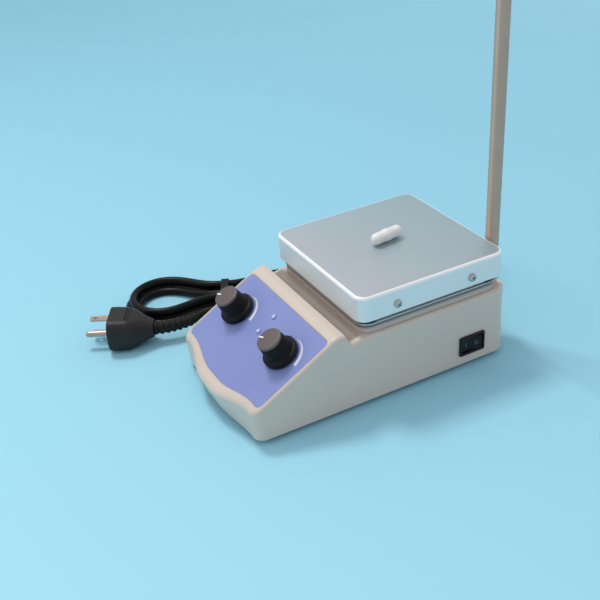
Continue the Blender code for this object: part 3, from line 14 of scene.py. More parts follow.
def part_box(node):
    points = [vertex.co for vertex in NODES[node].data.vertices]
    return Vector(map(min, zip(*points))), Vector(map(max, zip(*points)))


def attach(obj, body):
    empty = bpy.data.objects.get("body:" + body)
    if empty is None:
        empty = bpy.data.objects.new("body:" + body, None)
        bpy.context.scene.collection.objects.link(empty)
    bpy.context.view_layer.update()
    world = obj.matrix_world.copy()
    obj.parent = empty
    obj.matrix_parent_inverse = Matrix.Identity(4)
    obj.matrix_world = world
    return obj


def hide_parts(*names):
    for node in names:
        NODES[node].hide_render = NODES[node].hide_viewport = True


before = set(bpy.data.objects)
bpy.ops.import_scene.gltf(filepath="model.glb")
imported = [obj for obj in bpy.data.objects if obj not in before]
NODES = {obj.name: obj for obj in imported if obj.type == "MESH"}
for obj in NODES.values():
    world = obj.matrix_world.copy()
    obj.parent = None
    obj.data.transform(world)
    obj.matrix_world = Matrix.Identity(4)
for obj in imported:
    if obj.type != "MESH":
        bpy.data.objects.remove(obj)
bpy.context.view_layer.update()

# %% [markdown]
# Two frames make every later placement simple. The bench frame stands under the middle of the square plate,
# which is also the axis of the turning magnets. The slope frame lies on the sloping front: X runs across
# it, Y up it and Z straight out of it, so that knobs and lamps are built upright and then tilted together.

# %% The bench frame and the slope frame
NOSE_HEIGHT = 0.0267
CREASE_REACH = 0.1416
RIDGE_REACH = 0.0775
RIDGE_HEIGHT = 0.0631
SLOPE_ANGLE = math.atan2(RIDGE_HEIGHT - NOSE_HEIGHT, CREASE_REACH - RIDGE_REACH)

plate_low, plate_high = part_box("heating_plate")
BENCH = Matrix.Translation((0, (plate_low.y + plate_high.y) / 2, 0))
SLOPE = BENCH @ Matrix.Translation((0, -CREASE_REACH, NOSE_HEIGHT)) @ Matrix.Rotation(SLOPE_ANGLE, 4, "X")
TO_SLOPE = BENCH.inverted() @ SLOPE
print("slope, degrees:", round(math.degrees(SLOPE_ANGLE), 2))

# %% [markdown]
# The camera stands where the photographer stood: to the right of the front, looking down by about a third
# of a right angle, with the picture turned slightly. The direction out of the picture comes from the two
# angles, and the camera's own axes are built from it, which keeps the small roll explicit.

# %% Camera at the photographer's place
AZIMUTH = math.radians(63.41)
ELEVATION = math.radians(30.97)
ROLL = math.radians(-4.02)
EYE = Vector((0.5094, -0.3275, 0.4034))
FRAME_PIXELS = 600
FOCAL_PIXELS = 948.48
SENSOR = 36.0
NEAR_CLIP = 0.01

backward = Vector((math.sin(AZIMUTH) * math.cos(ELEVATION), -math.cos(AZIMUTH) * math.cos(ELEVATION),
                   math.sin(ELEVATION)))
rightward = Vector((math.cos(AZIMUTH), math.sin(AZIMUTH), 0))
upward = backward.cross(rightward)
rolled_right = rightward * math.cos(ROLL) + upward * math.sin(ROLL)
rolled_up = upward * math.cos(ROLL) - rightward * math.sin(ROLL)

lens_data = bpy.data.cameras.new("photograph_camera")
lens_data.sensor_width = SENSOR
lens_data.lens = FOCAL_PIXELS / FRAME_PIXELS * SENSOR
lens_data.clip_start = NEAR_CLIP
camera = bpy.data.objects.new("photograph_camera", lens_data)
bpy.context.scene.collection.objects.link(camera)
axes = Matrix((rolled_right, rolled_up, backward)).transposed().to_4x4()
camera.matrix_world = BENCH @ Matrix.Translation(EYE) @ axes
bpy.context.scene.camera = camera
print("lens, mm:", round(lens_data.lens, 2))

# %% [markdown]
# The mains cord is one unbroken flexible tube: out of the gland in the rear wall, round the back corner,
# folded into a hank beside the housing and out again to the plug. The hank is a flat spiral in two layers
# whose runs are drawn together at the waist, so a formula gives its centre line. The loose stretches follow
# no rule, so a list of points, smoothed, gives those.

# %% Route of the cord
CORD_RADIUS = 0.00325
SEAT_GAP = 0.0003
REAR_REACH = 0.0578
GLAND_X = -0.0300
GLAND_Z = 0.0180
GLAND_LENGTH = 0.0320
HANK_MIDDLE = Vector((-0.1220, -0.0800, 0))
HANK_HEADING = math.atan2(0.889, 0.459)
HANK_RUN = 0.1000
HANK_INNER_RADIUS = 0.0195
HANK_PITCH = 0.0079
HANK_LAYER = 0.0070
HANK_WAIST = 0.0157
HANK_LIFT = 0.0013
HANK_TIED = 0.005
HANK_START_TURN = -0.125
HANK_LOOPS = 3
HANK_REVERSE_TURN = 1.5
HANK_POINTS_A_TURN = 72
CURVE_STEPS = 20

hank_along = Vector((math.cos(HANK_HEADING), math.sin(HANK_HEADING), 0))
hank_aside = Vector((math.sin(HANK_HEADING), -math.cos(HANK_HEADING), 0))


def hank_place(along, aside, height):
    """A place beside the hank: along its runs to the back, aside to the right, and up."""
    return HANK_MIDDLE + hank_along * along + hank_aside * aside + Vector((0, 0, height))


def hank_spot(turn):
    """The cord's centre at a turn of the hank, counted from the middle of the near run.

    A turn has eight parts: one for half a run, two for a fold, two for the far run, two for the other fold
    and one for the last half run.
    """
    radius = HANK_INNER_RADIUS + HANK_PITCH * abs(turn - HANK_REVERSE_TURN)
    phase = 8 * (turn % 1.0)
    half = HANK_RUN / 2
    if phase < 1:
        along, aside = -half * phase, radius
    elif phase < 3:
        angle = math.pi * (phase - 1) / 2
        along, aside = -half - radius * math.sin(angle), radius * math.cos(angle)
    elif phase < 5:
        along, aside = half * (phase - 4), -radius
    elif phase < 7:
        angle = math.pi * (phase - 5) / 2
        along, aside = half + radius * math.sin(angle), -radius * math.cos(angle)
    else:
        along, aside = half * (8 - phase), radius
    share = min(max((abs(along) - HANK_TIED) / (half - HANK_TIED), 0), 1)
    drawn = math.cos(math.pi / 2 * share) ** 2
    aside -= math.copysign(HANK_WAIST * drawn, aside)
    climb = min(max((turn - HANK_REVERSE_TURN) * 4 + 0.5, 0), 1)
    height = CORD_RADIUS + HANK_LAYER * climb * climb * (3 - 2 * climb) + HANK_LIFT * drawn
    return hank_place(along, aside, height)


def smoothed(points, step):
    """Points at even steps on a smooth curve through the points given, straight at both ends."""
    knots = [Vector(point) for point in points]
    fine = []
    for first, second, third, fourth in zip(knots, knots[1:], knots[2:], knots[3:]):
        for index in range(CURVE_STEPS):
            t = index / CURVE_STEPS
            fine.append(0.5 * (2 * second + (third - first) * t
                               + (2 * first - 5 * second + 4 * third - fourth) * t ** 2
                               + (3 * second - first - 3 * third + fourth) * t ** 3))
    fine.append(knots[-2])
    route = [knots[0], fine[0]]
    passed = 0.0
    for before, after in zip(fine, fine[1:]):
        passed += (after - before).length
        if passed >= step:
            route.append(after)
            passed = 0.0
    return route + [knots[-1]]


# %% [markdown]
# The plug lies on the bench with its blades to the front left. Its strain relief leaves the back in a bend,
# because the cord turns back towards the hank. An arc of a given angle and length gives the relief's line,
# and the cord starts in the direction in which that arc ends.

# %% Plug's place and the bend of its relief
PLUG_FACE = Vector((-0.1173, -0.1797, 0.0122))
PLUG_HEADING = math.atan2(-0.877, -0.480)
PLUG_LENGTH = 0.0340
RELIEF_LENGTH = 0.0360
RELIEF_BEND = math.radians(44)

plug_out = Vector((math.cos(PLUG_HEADING), math.sin(PLUG_HEADING), 0))
plug_aside = Vector((-math.sin(PLUG_HEADING), math.cos(PLUG_HEADING), 0))


def relief_spot(share):
    """A place on the bent strain relief, from the plug's back at zero to its tail at one."""
    radius = RELIEF_LENGTH / RELIEF_BEND
    angle = RELIEF_BEND * share
    start = PLUG_FACE - plug_out * (PLUG_LENGTH + SEAT_GAP)
    return start - plug_out * (radius * math.sin(angle)) - plug_aside * (radius * (1 - math.cos(angle)))


tail = relief_spot(1.0)
tail_heading = -plug_out * math.cos(RELIEF_BEND) - plug_aside * math.sin(RELIEF_BEND)
print("relief tail:", [round(value, 4) for value in tail])

# %% [markdown]
# A real cord has one length, so its stretches are joined into one list of points. Its length is measured
# along that list.

# %% The whole route
GLAND_END = (GLAND_X, REAR_REACH + 2 * SEAT_GAP + GLAND_LENGTH, GLAND_Z)
LEAD_ROUTE = [GLAND_END, (-0.030, 0.1044, 0.0170), (-0.034, 0.1204, 0.0125), (-0.046, 0.1324, 0.0055),
              (-0.062, 0.1334, 0.00325), (-0.076, 0.1234, 0.00325), (-0.083, 0.1044, 0.00325),
              (-0.081, 0.0784, 0.00325), (-0.074, 0.0444, 0.00325), (-0.0675, 0.0104, 0.00325),
              (-0.0645, -0.0156, 0.00325)]
PLUG_LEAD_ROUTE = [(0.0250, 0.0285, 0.0100), (0.0100, 0.0270, 0.0096), (-0.0045, 0.0284, 0.0103)]

straight = 2 * CORD_RADIUS
turns = HANK_LOOPS * HANK_POINTS_A_TURN
hank_points = [hank_spot(HANK_START_TURN + index / HANK_POINTS_A_TURN) for index in range(turns + 1)]
hank_start = hank_points[0] + hank_along * straight
hank_end = hank_points[-1] - hank_along * straight
lead = smoothed(LEAD_ROUTE + [hank_start + hank_along * straight, hank_start], straight)
plug_lead = smoothed([hank_end, hank_end - hank_along * straight]
                     + [hank_place(*place) for place in PLUG_LEAD_ROUTE]
                     + [tail + tail_heading * straight, tail + tail_heading * SEAT_GAP], CORD_RADIUS)
cord_route = lead + hank_points + plug_lead
cord_length = sum((after - before).length for before, after in zip(cord_route, cord_route[1:]))
print("cord, metres:", round(cord_length, 3), "in", len(cord_route), "points")

# %% [markdown]
# A bevelled curve is the simplest round tube: it needs only a line and a radius at each point. The same
# function makes the ribbed relief later, with a radius that changes from point to point.

# %% Cord
CORD_BEVEL_STEPS = 6


def link(name, data):
    """A new object in the scene."""
    thing = bpy.data.objects.new(name, data)
    bpy.context.scene.collection.objects.link(thing)
    return thing


def tube(name, route, radii, bevel_steps):
    """A round tube along a route, with a radius for each point and closed ends."""
    curve = bpy.data.curves.new(name, "CURVE")
    curve.dimensions = "3D"
    curve.bevel_depth = 1.0
    curve.bevel_resolution = bevel_steps
    curve.use_fill_caps = True
    spline = curve.splines.new("POLY")
    spline.points.add(len(route) - 1)
    for point, spot, radius in zip(spline.points, route, radii):
        point.co = (*spot, 1.0)
        point.radius = radius
    spline.use_smooth = True
    thing = link(name, curve)
    thing.matrix_world = BENCH
    return thing


cord = tube("mains_cord", cord_route, [CORD_RADIUS] * len(cord_route), CORD_BEVEL_STEPS)
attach(cord, "base")
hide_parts("cord_lead", "cord_hank", "plug_lead")

# %% [markdown]
# Forms are built in mesh code. An outline is a list of points, a skin joins rings of points into a closed
# form, and a turned form spins a half section about its own Z. Nearly every outline of the object is made
# of arcs and straight lines, so a few small functions draw them all.

# %% Outlines and forms
CUT_OVERRUN = 0.002


def arc(centre, radius, start, end, steps):
    """Points on an arc, both ends included."""
    return [(centre[0] + radius * math.cos(start + (end - start) * step / steps),
             centre[1] + radius * math.sin(start + (end - start) * step / steps))
            for step in range(steps + 1)]


def quarter(steps, first=0):
    """The angles of a quarter turn in even steps."""
    return [math.pi / 2 * step / steps for step in range(first, steps + 1)]


def rounded_rectangle(width, depth, radius, centre=(0, 0), steps=10):
    """A counter-clockwise rectangle with round corners."""
    points = []
    for corner, (sx, sy) in enumerate(((1, 1), (-1, 1), (-1, -1), (1, -1))):
        middle = (centre[0] + sx * (width / 2 - radius), centre[1] + sy * (depth / 2 - radius))
        points += arc(middle, radius, corner * math.pi / 2, (corner + 1) * math.pi / 2, steps)
    return points


def circle(radius, centre=(0, 0), steps=48):
    """Points round a full circle."""
    return arc(centre, radius, 0, math.tau * (steps - 1) / steps, steps - 1)


def level(outline, z):
    """An outline at a height."""
    return [(x, y, z) for x, y in outline]


def skin(rings):
    """A closed form through rings of points, with a flat cap at each end."""
    form = bmesh.new()
    loops = [[form.verts.new(point) for point in ring] for ring in rings]
    for low, high in zip(loops, loops[1:]):
        for index in range(len(low)):
            follow = (index + 1) % len(low)
            form.faces.new((low[index], low[follow], high[follow], high[index]))
    form.faces.new(loops[0][::-1])
    form.faces.new(loops[-1])
    bmesh.ops.recalc_face_normals(form, faces=form.faces)
    return form


def prism(outline, low, high):
    """A form of one outline between two heights."""
    return skin([level(outline, low), level(outline, high)])


def softened(outline_at, low, high, edge, steps=4, both=True):
    """A prism with a rounded top edge, and bottom edge if asked. outline_at(inset) gives the outline."""
    rings = []
    if both:
        for angle in reversed(quarter(steps)):
            height = low + edge * (1 - math.sin(angle))
            rings.append(level(outline_at(edge * (1 - math.cos(angle))), height))
    else:
        rings.append(level(outline_at(0), low))
    for angle in quarter(steps):
        height = high - edge * (1 - math.sin(angle))
        rings.append(level(outline_at(edge * (1 - math.cos(angle))), height))
    return skin(rings)


def turned(profile, steps=64):
    """A half section of (radius, height) points turned about Z."""
    form = bmesh.new()
    corners = [form.verts.new((radius, 0, z)) for radius, z in profile]
    pairs = list(zip(corners, corners[1:]))
    if profile[0][0] > 0:
        pairs.append((corners[-1], corners[0]))
    edges = [form.edges.new(pair) for pair in pairs]
    bmesh.ops.spin(form, geom=corners + edges, cent=(0, 0, 0), axis=(0, 0, 1), angle=math.tau, steps=steps,
                   use_merge=True)
    bmesh.ops.remove_doubles(form, verts=form.verts, dist=1e-6)
    bmesh.ops.recalc_face_normals(form, faces=form.faces)
    return form


def shifted(form, x, y, z):
    """The form, moved."""
    bmesh.ops.translate(form, vec=(x, y, z), verts=form.verts)
    return form


def turned_over(form, angle, axis):
    """The form, turned about an axis."""
    bmesh.ops.rotate(form, cent=(0, 0, 0), matrix=Matrix.Rotation(angle, 3, axis), verts=form.verts)
    return form


# %% [markdown]
# A form becomes a piece when it has a name, a place and a body to ride on. Holes and joined lugs are made
# by Booleans that are applied at once, so that each piece stays one plain mesh. Weighted normals then keep
# its flat faces flat beside its rounded edges.

# %% Pieces
SMOOTH_ANGLE = math.radians(35)
CLOSE_SMOOTH_ANGLE = math.radians(28)


def piece(name, form, body, place=BENCH, smooth=SMOOTH_ANGLE):
    """A named piece from a form, in its place, that rides on a body of the solid model."""
    mesh = bpy.data.meshes.new(name)
    form.to_mesh(mesh)
    form.free()
    mesh.shade_smooth()
    mesh.set_sharp_from_angle(angle=smooth)
    thing = link(name, mesh)
    thing.matrix_world = place
    if body:
        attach(thing, body)
    return thing


def carve(thing, form, operation="DIFFERENCE"):
    """Cuts a form out of a piece, or joins it on, for good."""
    helper = piece("carving_helper", form, None, thing.matrix_world)
    bpy.context.view_layer.update()
    change = thing.modifiers.new("carve", "BOOLEAN")
    change.operation = operation
    change.solver = "EXACT"
    change.object = helper
    graph = bpy.context.evaluated_depsgraph_get()
    carved = bpy.data.meshes.new_from_object(thing.evaluated_get(graph))
    thing.modifiers.remove(change)
    thing.data = carved
    bpy.data.objects.remove(helper)


def even_shading(thing, angle=SMOOTH_ANGLE):
    """Keeps flat faces flat where a carved face meets a rounded one."""
    thing.data.shade_smooth()
    thing.data.set_sharp_from_angle(angle=angle)
    weigh = thing.modifiers.new("even shading", "WEIGHTED_NORMAL")
    weigh.keep_sharp = True


# %% [markdown]
# Shader arithmetic reads best as arithmetic. Line wraps one socket, so that an expression on values adds
# the Math nodes. Finish wraps one material. Its node method adds any other node: its settings first, then
# its sockets. Its mottle method does what nearly every real surface needs, a tone and a gloss that vary a
# little.

# %% Shader arithmetic
class Line:
    """A value in a shader, with the arithmetic that it takes part in."""

    def __init__(self, finish, socket):
        self.finish = finish
        self.socket = socket

    def math(self, operation, *others):
        inputs = dict(enumerate((self, *others)))
        return self.finish.node("ShaderNodeMath", {"operation": operation}, inputs)

    def __add__(self, other):
        return self.math("ADD", other)

    def __mul__(self, other):
        return self.math("MULTIPLY", other)

    def __sub__(self, other):
        return self.math("SUBTRACT", other)

    def __rsub__(self, other):
        return (self * -1) + other

    def __truediv__(self, other):
        return self.math("DIVIDE", other)

    def __pow__(self, other):
        return self.math("POWER", other)

    def __gt__(self, other):
        return self.math("GREATER_THAN", other)

    def __lt__(self, other):
        return self.math("LESS_THAN", other)

    def size(self):
        return self.math("ABSOLUTE")

    def clipped(self):
        return self.math("MINIMUM", 1.0).math("MAXIMUM", 0.0)


class Finish:
    """A material that is being made."""

    def __init__(self, name, colour, roughness, metallic=0.0, **plain):
        self.material = bpy.data.materials.new(name)
        self.material.use_nodes = True
        self.tree = self.material.node_tree
        self.shader = self.tree.nodes["Principled BSDF"]
        self.set("Base Color", (*colour, 1.0))
        self.set("Roughness", roughness)
        self.set("Metallic", metallic)
        for name_of_socket, value in plain.items():
            self.set(name_of_socket.replace("_", " "), value)
        self.material.diffuse_color = (*colour, 1.0)

    def set(self, name, value):
        """Gives a socket of the surface a value or a line."""
        self.feed(self.shader.inputs[name], value)

    def feed(self, socket, value):
        if isinstance(value, Line):
            self.tree.links.new(value.socket, socket)
        else:
            socket.default_value = value

    def node(self, kind, settings=(), sockets=(), output=0):
        """Adds one node: its settings, then the values or lines of its sockets. Gives one of its outputs."""
        made = self.tree.nodes.new(kind)
        for name, value in dict(settings).items():
            setattr(made, name, value)
        for name, value in dict(sockets).items():
            self.feed(made.inputs[name], value)
        return Line(self, made.outputs[output])

    def spot(self):
        """Where on the piece a point lies, in metres of the piece's own frame."""
        return self.node("ShaderNodeTexCoord", output="Object")

    def parts(self, vector):
        """The three numbers of a vector."""
        first = self.node("ShaderNodeSeparateXYZ", (), {0: vector})
        outputs = first.socket.node.outputs
        return [Line(self, outputs[index]) for index in range(3)]

    def noise(self, scale, detail=2.0, roughness=0.5, vector=None):
        """Soft random patches, with so many to the metre."""
        return self.node("ShaderNodeTexNoise", (), {"Vector": vector or self.spot(), "Scale": scale,
                                                     "Detail": detail, "Roughness": roughness})

    def stretched(self, x, y, z):
        """The place with each direction scaled."""
        return self.node("ShaderNodeVectorMath", {"operation": "MULTIPLY"}, {0: self.spot(), 1: (x, y, z)})

    def grain(self, x, y, z, detail=2.0):
        """Noise with its own scale in each direction, for a grain that runs one way."""
        return self.noise(1.0, detail, vector=self.stretched(x, y, z))

    def blend(self, share, first, second):
        """A colour between two, by a share from zero to one."""
        ends = {6: first if isinstance(first, Line) else (*first, 1.0),
                7: second if isinstance(second, Line) else (*second, 1.0)}
        return self.node("ShaderNodeMix", {"data_type": "RGBA"}, {0: share, **ends}, output=2)

    def mottle(self, share, dark, light, least_rough=None, rough_spread=0.0):
        """Varies the tone between two by a line, and the roughness too if asked."""
        self.set("Base Color", self.blend(share, dark, light))
        if least_rough is not None:
            self.set("Roughness", share * rough_spread + least_rough)

    def bumps(self, height, distance, strength):
        """Feeds the surface's normal from a height."""
        sockets = {"Height": height, "Distance": distance, "Strength": strength}
        self.set("Normal", self.node("ShaderNodeBump", (), sockets))


def dress(finish, *things):
    """Puts a finish on pieces, or on solids of the model by name."""
    for thing in things:
        thing = NODES[thing] if isinstance(thing, str) else thing
        thing.data.materials.clear()
        thing.data.materials.append(finish.material)


def rgb(red, green, blue):
    """A colour that is written as seen on a screen, in the linear light that shaders use."""
    return tuple((value / 255 / 12.92 if value <= 10 else ((value / 255 + 0.055) / 1.055) ** 2.4)
                 for value in (red, green, blue))


# %% [markdown]
# The floor is one wide sheet of pale blue studio paper. One lamp stands high on the left. It brightens the
# tops and the left edges, throws the shadows to the right and lets the right wall fall darker. A wide weak
# lamp in front opens the shadows. The paper's tone is painted lighter and darker from place to place, as
# painted light on the floor, with faint random patches.

# %% Floor, lamps and world
FLOOR_HALF = 3.0
LAMP_AIM = Vector((0, 0, 0.05))
KEY_PLACE = Vector((-0.68, -0.18, 1.46))
KEY_SIZE = 0.36
KEY_WATTS = 10.8
FRONT_PLACE = Vector((-0.45, -1.5, 1.15))
FRONT_SIZE = 1.0
FRONT_WATTS = 3.2
SKY_COLOUR = (0.95, 0.95, 1.0, 1.0)
SKY_STRENGTH = 0.62

floor_form = bmesh.new()
bmesh.ops.create_grid(floor_form, x_segments=1, y_segments=1, size=FLOOR_HALF)
floor = piece("studio_floor", floor_form, None, Matrix.Identity(4))
paper = Finish("studio paper", rgb(150, 208, 229), 0.9, Specular_IOR_Level=0.1)
paper_x, paper_y, _ = paper.parts(paper.spot())
paper_patches = paper.noise(1.6, 3.0)
# Painted light: the paper is painted lighter and darker by its place, with faint random patches.
painted_light_slant = paper_x * (paper_x * 0.7 - paper_y * 0.64 + 1.2) + paper_y * (paper_y * 1.5 - 0.8)
painted_light_share = (painted_light_slant + paper_patches * 0.1 + 0.46).clipped()
paper.mottle(painted_light_share, rgb(145, 204, 225), rgb(171, 230, 248))
dress(paper, floor)


def soft_lamp(name, place, size, watts, colour):
    """A square lamp that looks at the object."""
    data = bpy.data.lights.new(name, "AREA")
    data.shape = "SQUARE"
    data.size = size
    data.energy = watts
    data.color = colour
    lamp = link(name, data)
    facing = (LAMP_AIM - place).to_track_quat("-Z", "Y")
    lamp.matrix_world = Matrix.Translation(place) @ facing.to_matrix().to_4x4()


soft_lamp("key_lamp", KEY_PLACE, KEY_SIZE, KEY_WATTS, (1.0, 0.96, 0.93))
soft_lamp("front_lamp", FRONT_PLACE, FRONT_SIZE, FRONT_WATTS, (1.0, 0.98, 0.97))

world = bpy.data.worlds.new("studio")
world.use_nodes = True
world.node_tree.nodes["Background"].inputs["Color"].default_value = SKY_COLOUR
world.node_tree.nodes["Background"].inputs["Strength"].default_value = SKY_STRENGTH
bpy.context.scene.world = world
bpy.context.scene.view_settings.view_transform = "Standard"
print("lamps:", len(bpy.data.lights))

# %% [markdown]
# The housing is one casting. Its shape is a plan outline with a gently bulging nose, raised to a top line
# that climbs the panel's slope, turns over a crest, drops into a gutter and runs level under the plate.
# This cell holds its sizes and its two drawings, the plan and the top line.

# %% Housing: the outline and the top line
HOUSING_WIDTH = 0.1185
NOSE_REACH = 0.1400
NOSE_BULGE = 0.0045
CREASE_BULGE = 0.0085
BULGE_FLAT = 0.008
BULGE_REACH = 0.050
RIDGE_BACK = 0.0715
GUTTER_REACH = 0.0655
GUTTER_HEIGHT = 0.0547
DECK_REACH = 0.0570
DECK_HEIGHT = 0.0562
CREST_ROUND = 0.004
HOUSING_REAR = 0.0630
REAR_DRAFT = 0.0016
FRONT_CORNER = 0.007
REAR_CORNER = 0.009
LEAST_CORNER = 0.0008
EDGE_ROUND = 0.0028
WALL = 0.003
TOP_WALL = 0.004
FOOT_HEIGHT = 0.0040
NOSE_STEPS = 48


def swell(x, flat, reach):
    """One at the middle, falling smoothly to zero where the bulge ends."""
    share = min(max((abs(x) - flat) / (reach - flat), 0), 1)
    return 1 - share * share * (3 - 2 * share)


def nosed_outline(half, front, rear, front_corner, rear_corner, bulge, bulge_reach):
    """A rounded rectangle whose front edge swells, counter-clockwise from its front left corner."""
    points = []
    for step in range(NOSE_STEPS + 1):
        x = (half - front_corner) * (2 * step / NOSE_STEPS - 1)
        points.append((x, front - bulge * swell(x, BULGE_FLAT, bulge_reach)))
    corners = ((half, front, front_corner), (half, rear, rear_corner),
               (-half, rear, rear_corner), (-half, front, front_corner))
    for turn, (x, y, radius) in enumerate(corners):
        centre = (x - math.copysign(radius, x), y + radius if y == front else y - radius)
        bend = arc(centre, radius, (turn - 1) * math.pi / 2, turn * math.pi / 2, 10)
        points += bend[1:] if turn == 0 else bend[:-1] if turn == 3 else bend
    return points


def plan_outline(inset, reach, bulge, rear_reach):
    """The housing seen from above, drawn in by an inset."""
    return nosed_outline(HOUSING_WIDTH / 2 - inset, inset - reach, rear_reach - inset,
                         max(FRONT_CORNER - inset, LEAST_CORNER), max(REAR_CORNER - inset, LEAST_CORNER),
                         bulge, BULGE_REACH)


def eased(start, start_height, end, end_height, steps):
    """A smooth step from one height to another."""
    return [(start + (end - start) * step / steps,
             start_height + (end_height - start_height) * (1 - math.cos(math.pi * step / steps)) / 2)
            for step in range(steps + 1)]


def top_line():
    """(y, height) along the top, from in front of the nose to behind the rear wall."""
    grade = math.tan(SLOPE_ANGLE)
    far = 2 * NOSE_REACH
    points = {-far: NOSE_HEIGHT - grade * (far - CREASE_REACH)}
    start = Vector((-RIDGE_REACH - CREST_ROUND, RIDGE_HEIGHT - grade * CREST_ROUND))
    crest = Vector((-RIDGE_REACH, RIDGE_HEIGHT))
    end = Vector((min(CREST_ROUND - RIDGE_REACH, -RIDGE_BACK), RIDGE_HEIGHT))
    for step in range(7):
        t = step / 6
        spot = start * (1 - t) ** 2 + crest * 2 * t * (1 - t) + end * t ** 2
        points[round(spot.x, 7)] = spot.y
    falls = eased(-RIDGE_BACK, RIDGE_HEIGHT, -GUTTER_REACH, GUTTER_HEIGHT, 12)[1:]
    rises = eased(-GUTTER_REACH, GUTTER_HEIGHT, -DECK_REACH, DECK_HEIGHT, 8)[1:]
    for y, z in falls + rises:
        points[round(y, 7)] = z
    points[2 * REAR_REACH] = DECK_HEIGHT
    return sorted(points.items())


TOP_LINE = top_line()
print("points on the top line:", len(TOP_LINE))


def top_height(y):
    """The top line's height at a place."""
    for (before, low), (after, high) in zip(TOP_LINE, TOP_LINE[1:]):
        if y <= after:
            return low + (high - low) * (y - before) / (after - before)
    return DECK_HEIGHT


def rear_at(height):
    """Where the rear wall stands at a height. It leans out towards its foot."""
    return HOUSING_REAR + REAR_DRAFT * (1 - height / DECK_HEIGHT)


# %% [markdown]
# The top edge is rounded all round. A bevel would struggle with the bends, so the form starts as a flat
# slab with a rounded edge. It is cut at each bend of the top line first, and then every point is raised by
# the top line's height at its place, so that the raising bends the form cleanly.

# %% Housing: the casting
SLAB_FOOT = -0.006
FOOT_POINTS_BELOW = -0.005
CORNER_MARGIN = 0.0001


def housing_form(inset, lowered, foot, edge, rear_reach, draft=0.0):
    """The housing's outer or inner shape."""
    steps = 8
    rings = [level(plan_outline(inset, NOSE_REACH, NOSE_BULGE, rear_reach), SLAB_FOOT)]
    for angle in quarter(steps):
        drawn_in = inset + edge * (1 - math.cos(angle))
        rings.append(level(plan_outline(drawn_in, CREASE_REACH, CREASE_BULGE, rear_reach),
                           -edge * (1 - math.sin(angle))))
    form = skin(rings)
    for y, _ in TOP_LINE[1:-1]:
        whole = form.verts[:] + form.edges[:] + form.faces[:]
        bmesh.ops.bisect_plane(form, geom=whole, dist=1e-6, plane_co=(0, y, 0), plane_no=(0, 1, 0))
    for vertex in form.verts:
        if vertex.co.z < FOOT_POINTS_BELOW:
            vertex.co.z = foot
        else:
            vertex.co.z += top_height(vertex.co.y) - lowered
        if vertex.co.y > rear_reach - REAR_CORNER - CORNER_MARGIN:
            vertex.co.y += draft * (1 - vertex.co.z / DECK_HEIGHT)
    return form


outer_form = housing_form(0, 0, FOOT_HEIGHT, EDGE_ROUND, HOUSING_REAR, REAR_DRAFT)
housing = piece("housing_casting", outer_form, "base")
carve(housing, housing_form(WALL, TOP_WALL, FOOT_HEIGHT - CUT_OVERRUN, EDGE_ROUND / 2, REAR_REACH))
print("housing faces before the details:", len(housing.data.polygons))

# %% [markdown]
# The casting carries a lug for the rod on its rear wall, has a shallow recess with a flared lip for the
# panel and is open where controls, lamps, switch, cord, rod and motor shaft pass through. Each opening is a
# separate cut with its own size.

# %% Housing: the lug, the recess and the openings
PANEL_HALF_WIDTH = 0.0560
PANEL_LOW = 0.0055
PANEL_HIGH = 0.0682
PANEL_BULGE = 0.0070
PANEL_BULGE_REACH = 0.047
PANEL_CORNER = 0.0036
PANEL_THICKNESS = 0.0011
RECESS_DEPTH = 0.0018
RECESS_GAP = 0.0003
RECESS_FLARE = 0.0019
RECESS_LIP = 0.0005
KNOB_X = 0.0335
KNOB_RISE = 0.0415
CONTROL_HOLE = 0.0038
LAMP_X = -0.0010
LAMP_RISES = (0.0558, 0.0411)
LAMP_HOLE = 0.0019
SLOPE_CUT = 0.0075
ROD_X = 0.0350
ROD_Y = 0.0670
ROD_HOLE = 0.0040
ROD_NOTCH = 0.0054
NUT_POCKET = 0.0075
NUT_POCKET_FOOT = 0.0020
LUG_RADIUS = 0.0095
LUG_TOP = 0.0460
LUG_HEIGHT = 0.0160
LUG_EDGE = 0.0012
SWITCH_Y = 0.0326
SWITCH_Z = 0.0192
SWITCH_CUT_HEIGHT = 0.0144
SWITCH_CUT_LENGTH = 0.0208
SWITCH_CUT_CORNER = 0.0010
GLAND_HOLE = 0.0063
GLAND_CUT_IN = 0.006
GLAND_CUT_OUT = 0.010
SHAFT_HOLE = 0.0065
PANEL_HOLES = ((-KNOB_X, KNOB_RISE, CONTROL_HOLE, 48), (KNOB_X, KNOB_RISE, CONTROL_HOLE, 48),
               (LAMP_X, LAMP_RISES[0], LAMP_HOLE, 24), (LAMP_X, LAMP_RISES[1], LAMP_HOLE, 24))


def panel_outline(grow):
    """The panel's outline on the slope, across and up from the crease."""
    corner = PANEL_CORNER + grow
    return nosed_outline(PANEL_HALF_WIDTH + grow, PANEL_LOW - grow, PANEL_HIGH + grow, corner, corner,
                         PANEL_BULGE, PANEL_BULGE_REACH)


def on_slope(form):
    """Tilts a form from the slope's frame into the bench frame."""
    bmesh.ops.transform(form, matrix=TO_SLOPE, verts=form.verts)
    return form


def lug_outline(inset):
    """The lug seen from above: a round end on a straight root inside the rear wall."""
    root = REAR_REACH - WALL / 2
    radius = LUG_RADIUS - inset
    return [(ROD_X - radius, root), (ROD_X + radius, root)] + arc((ROD_X, ROD_Y), radius, 0, math.pi, 24)


def upright_cut(radius, x, y, low, high):
    """Cuts a round hole straight down through the housing."""
    carve(housing, prism(circle(radius, (x, y)), low, high))


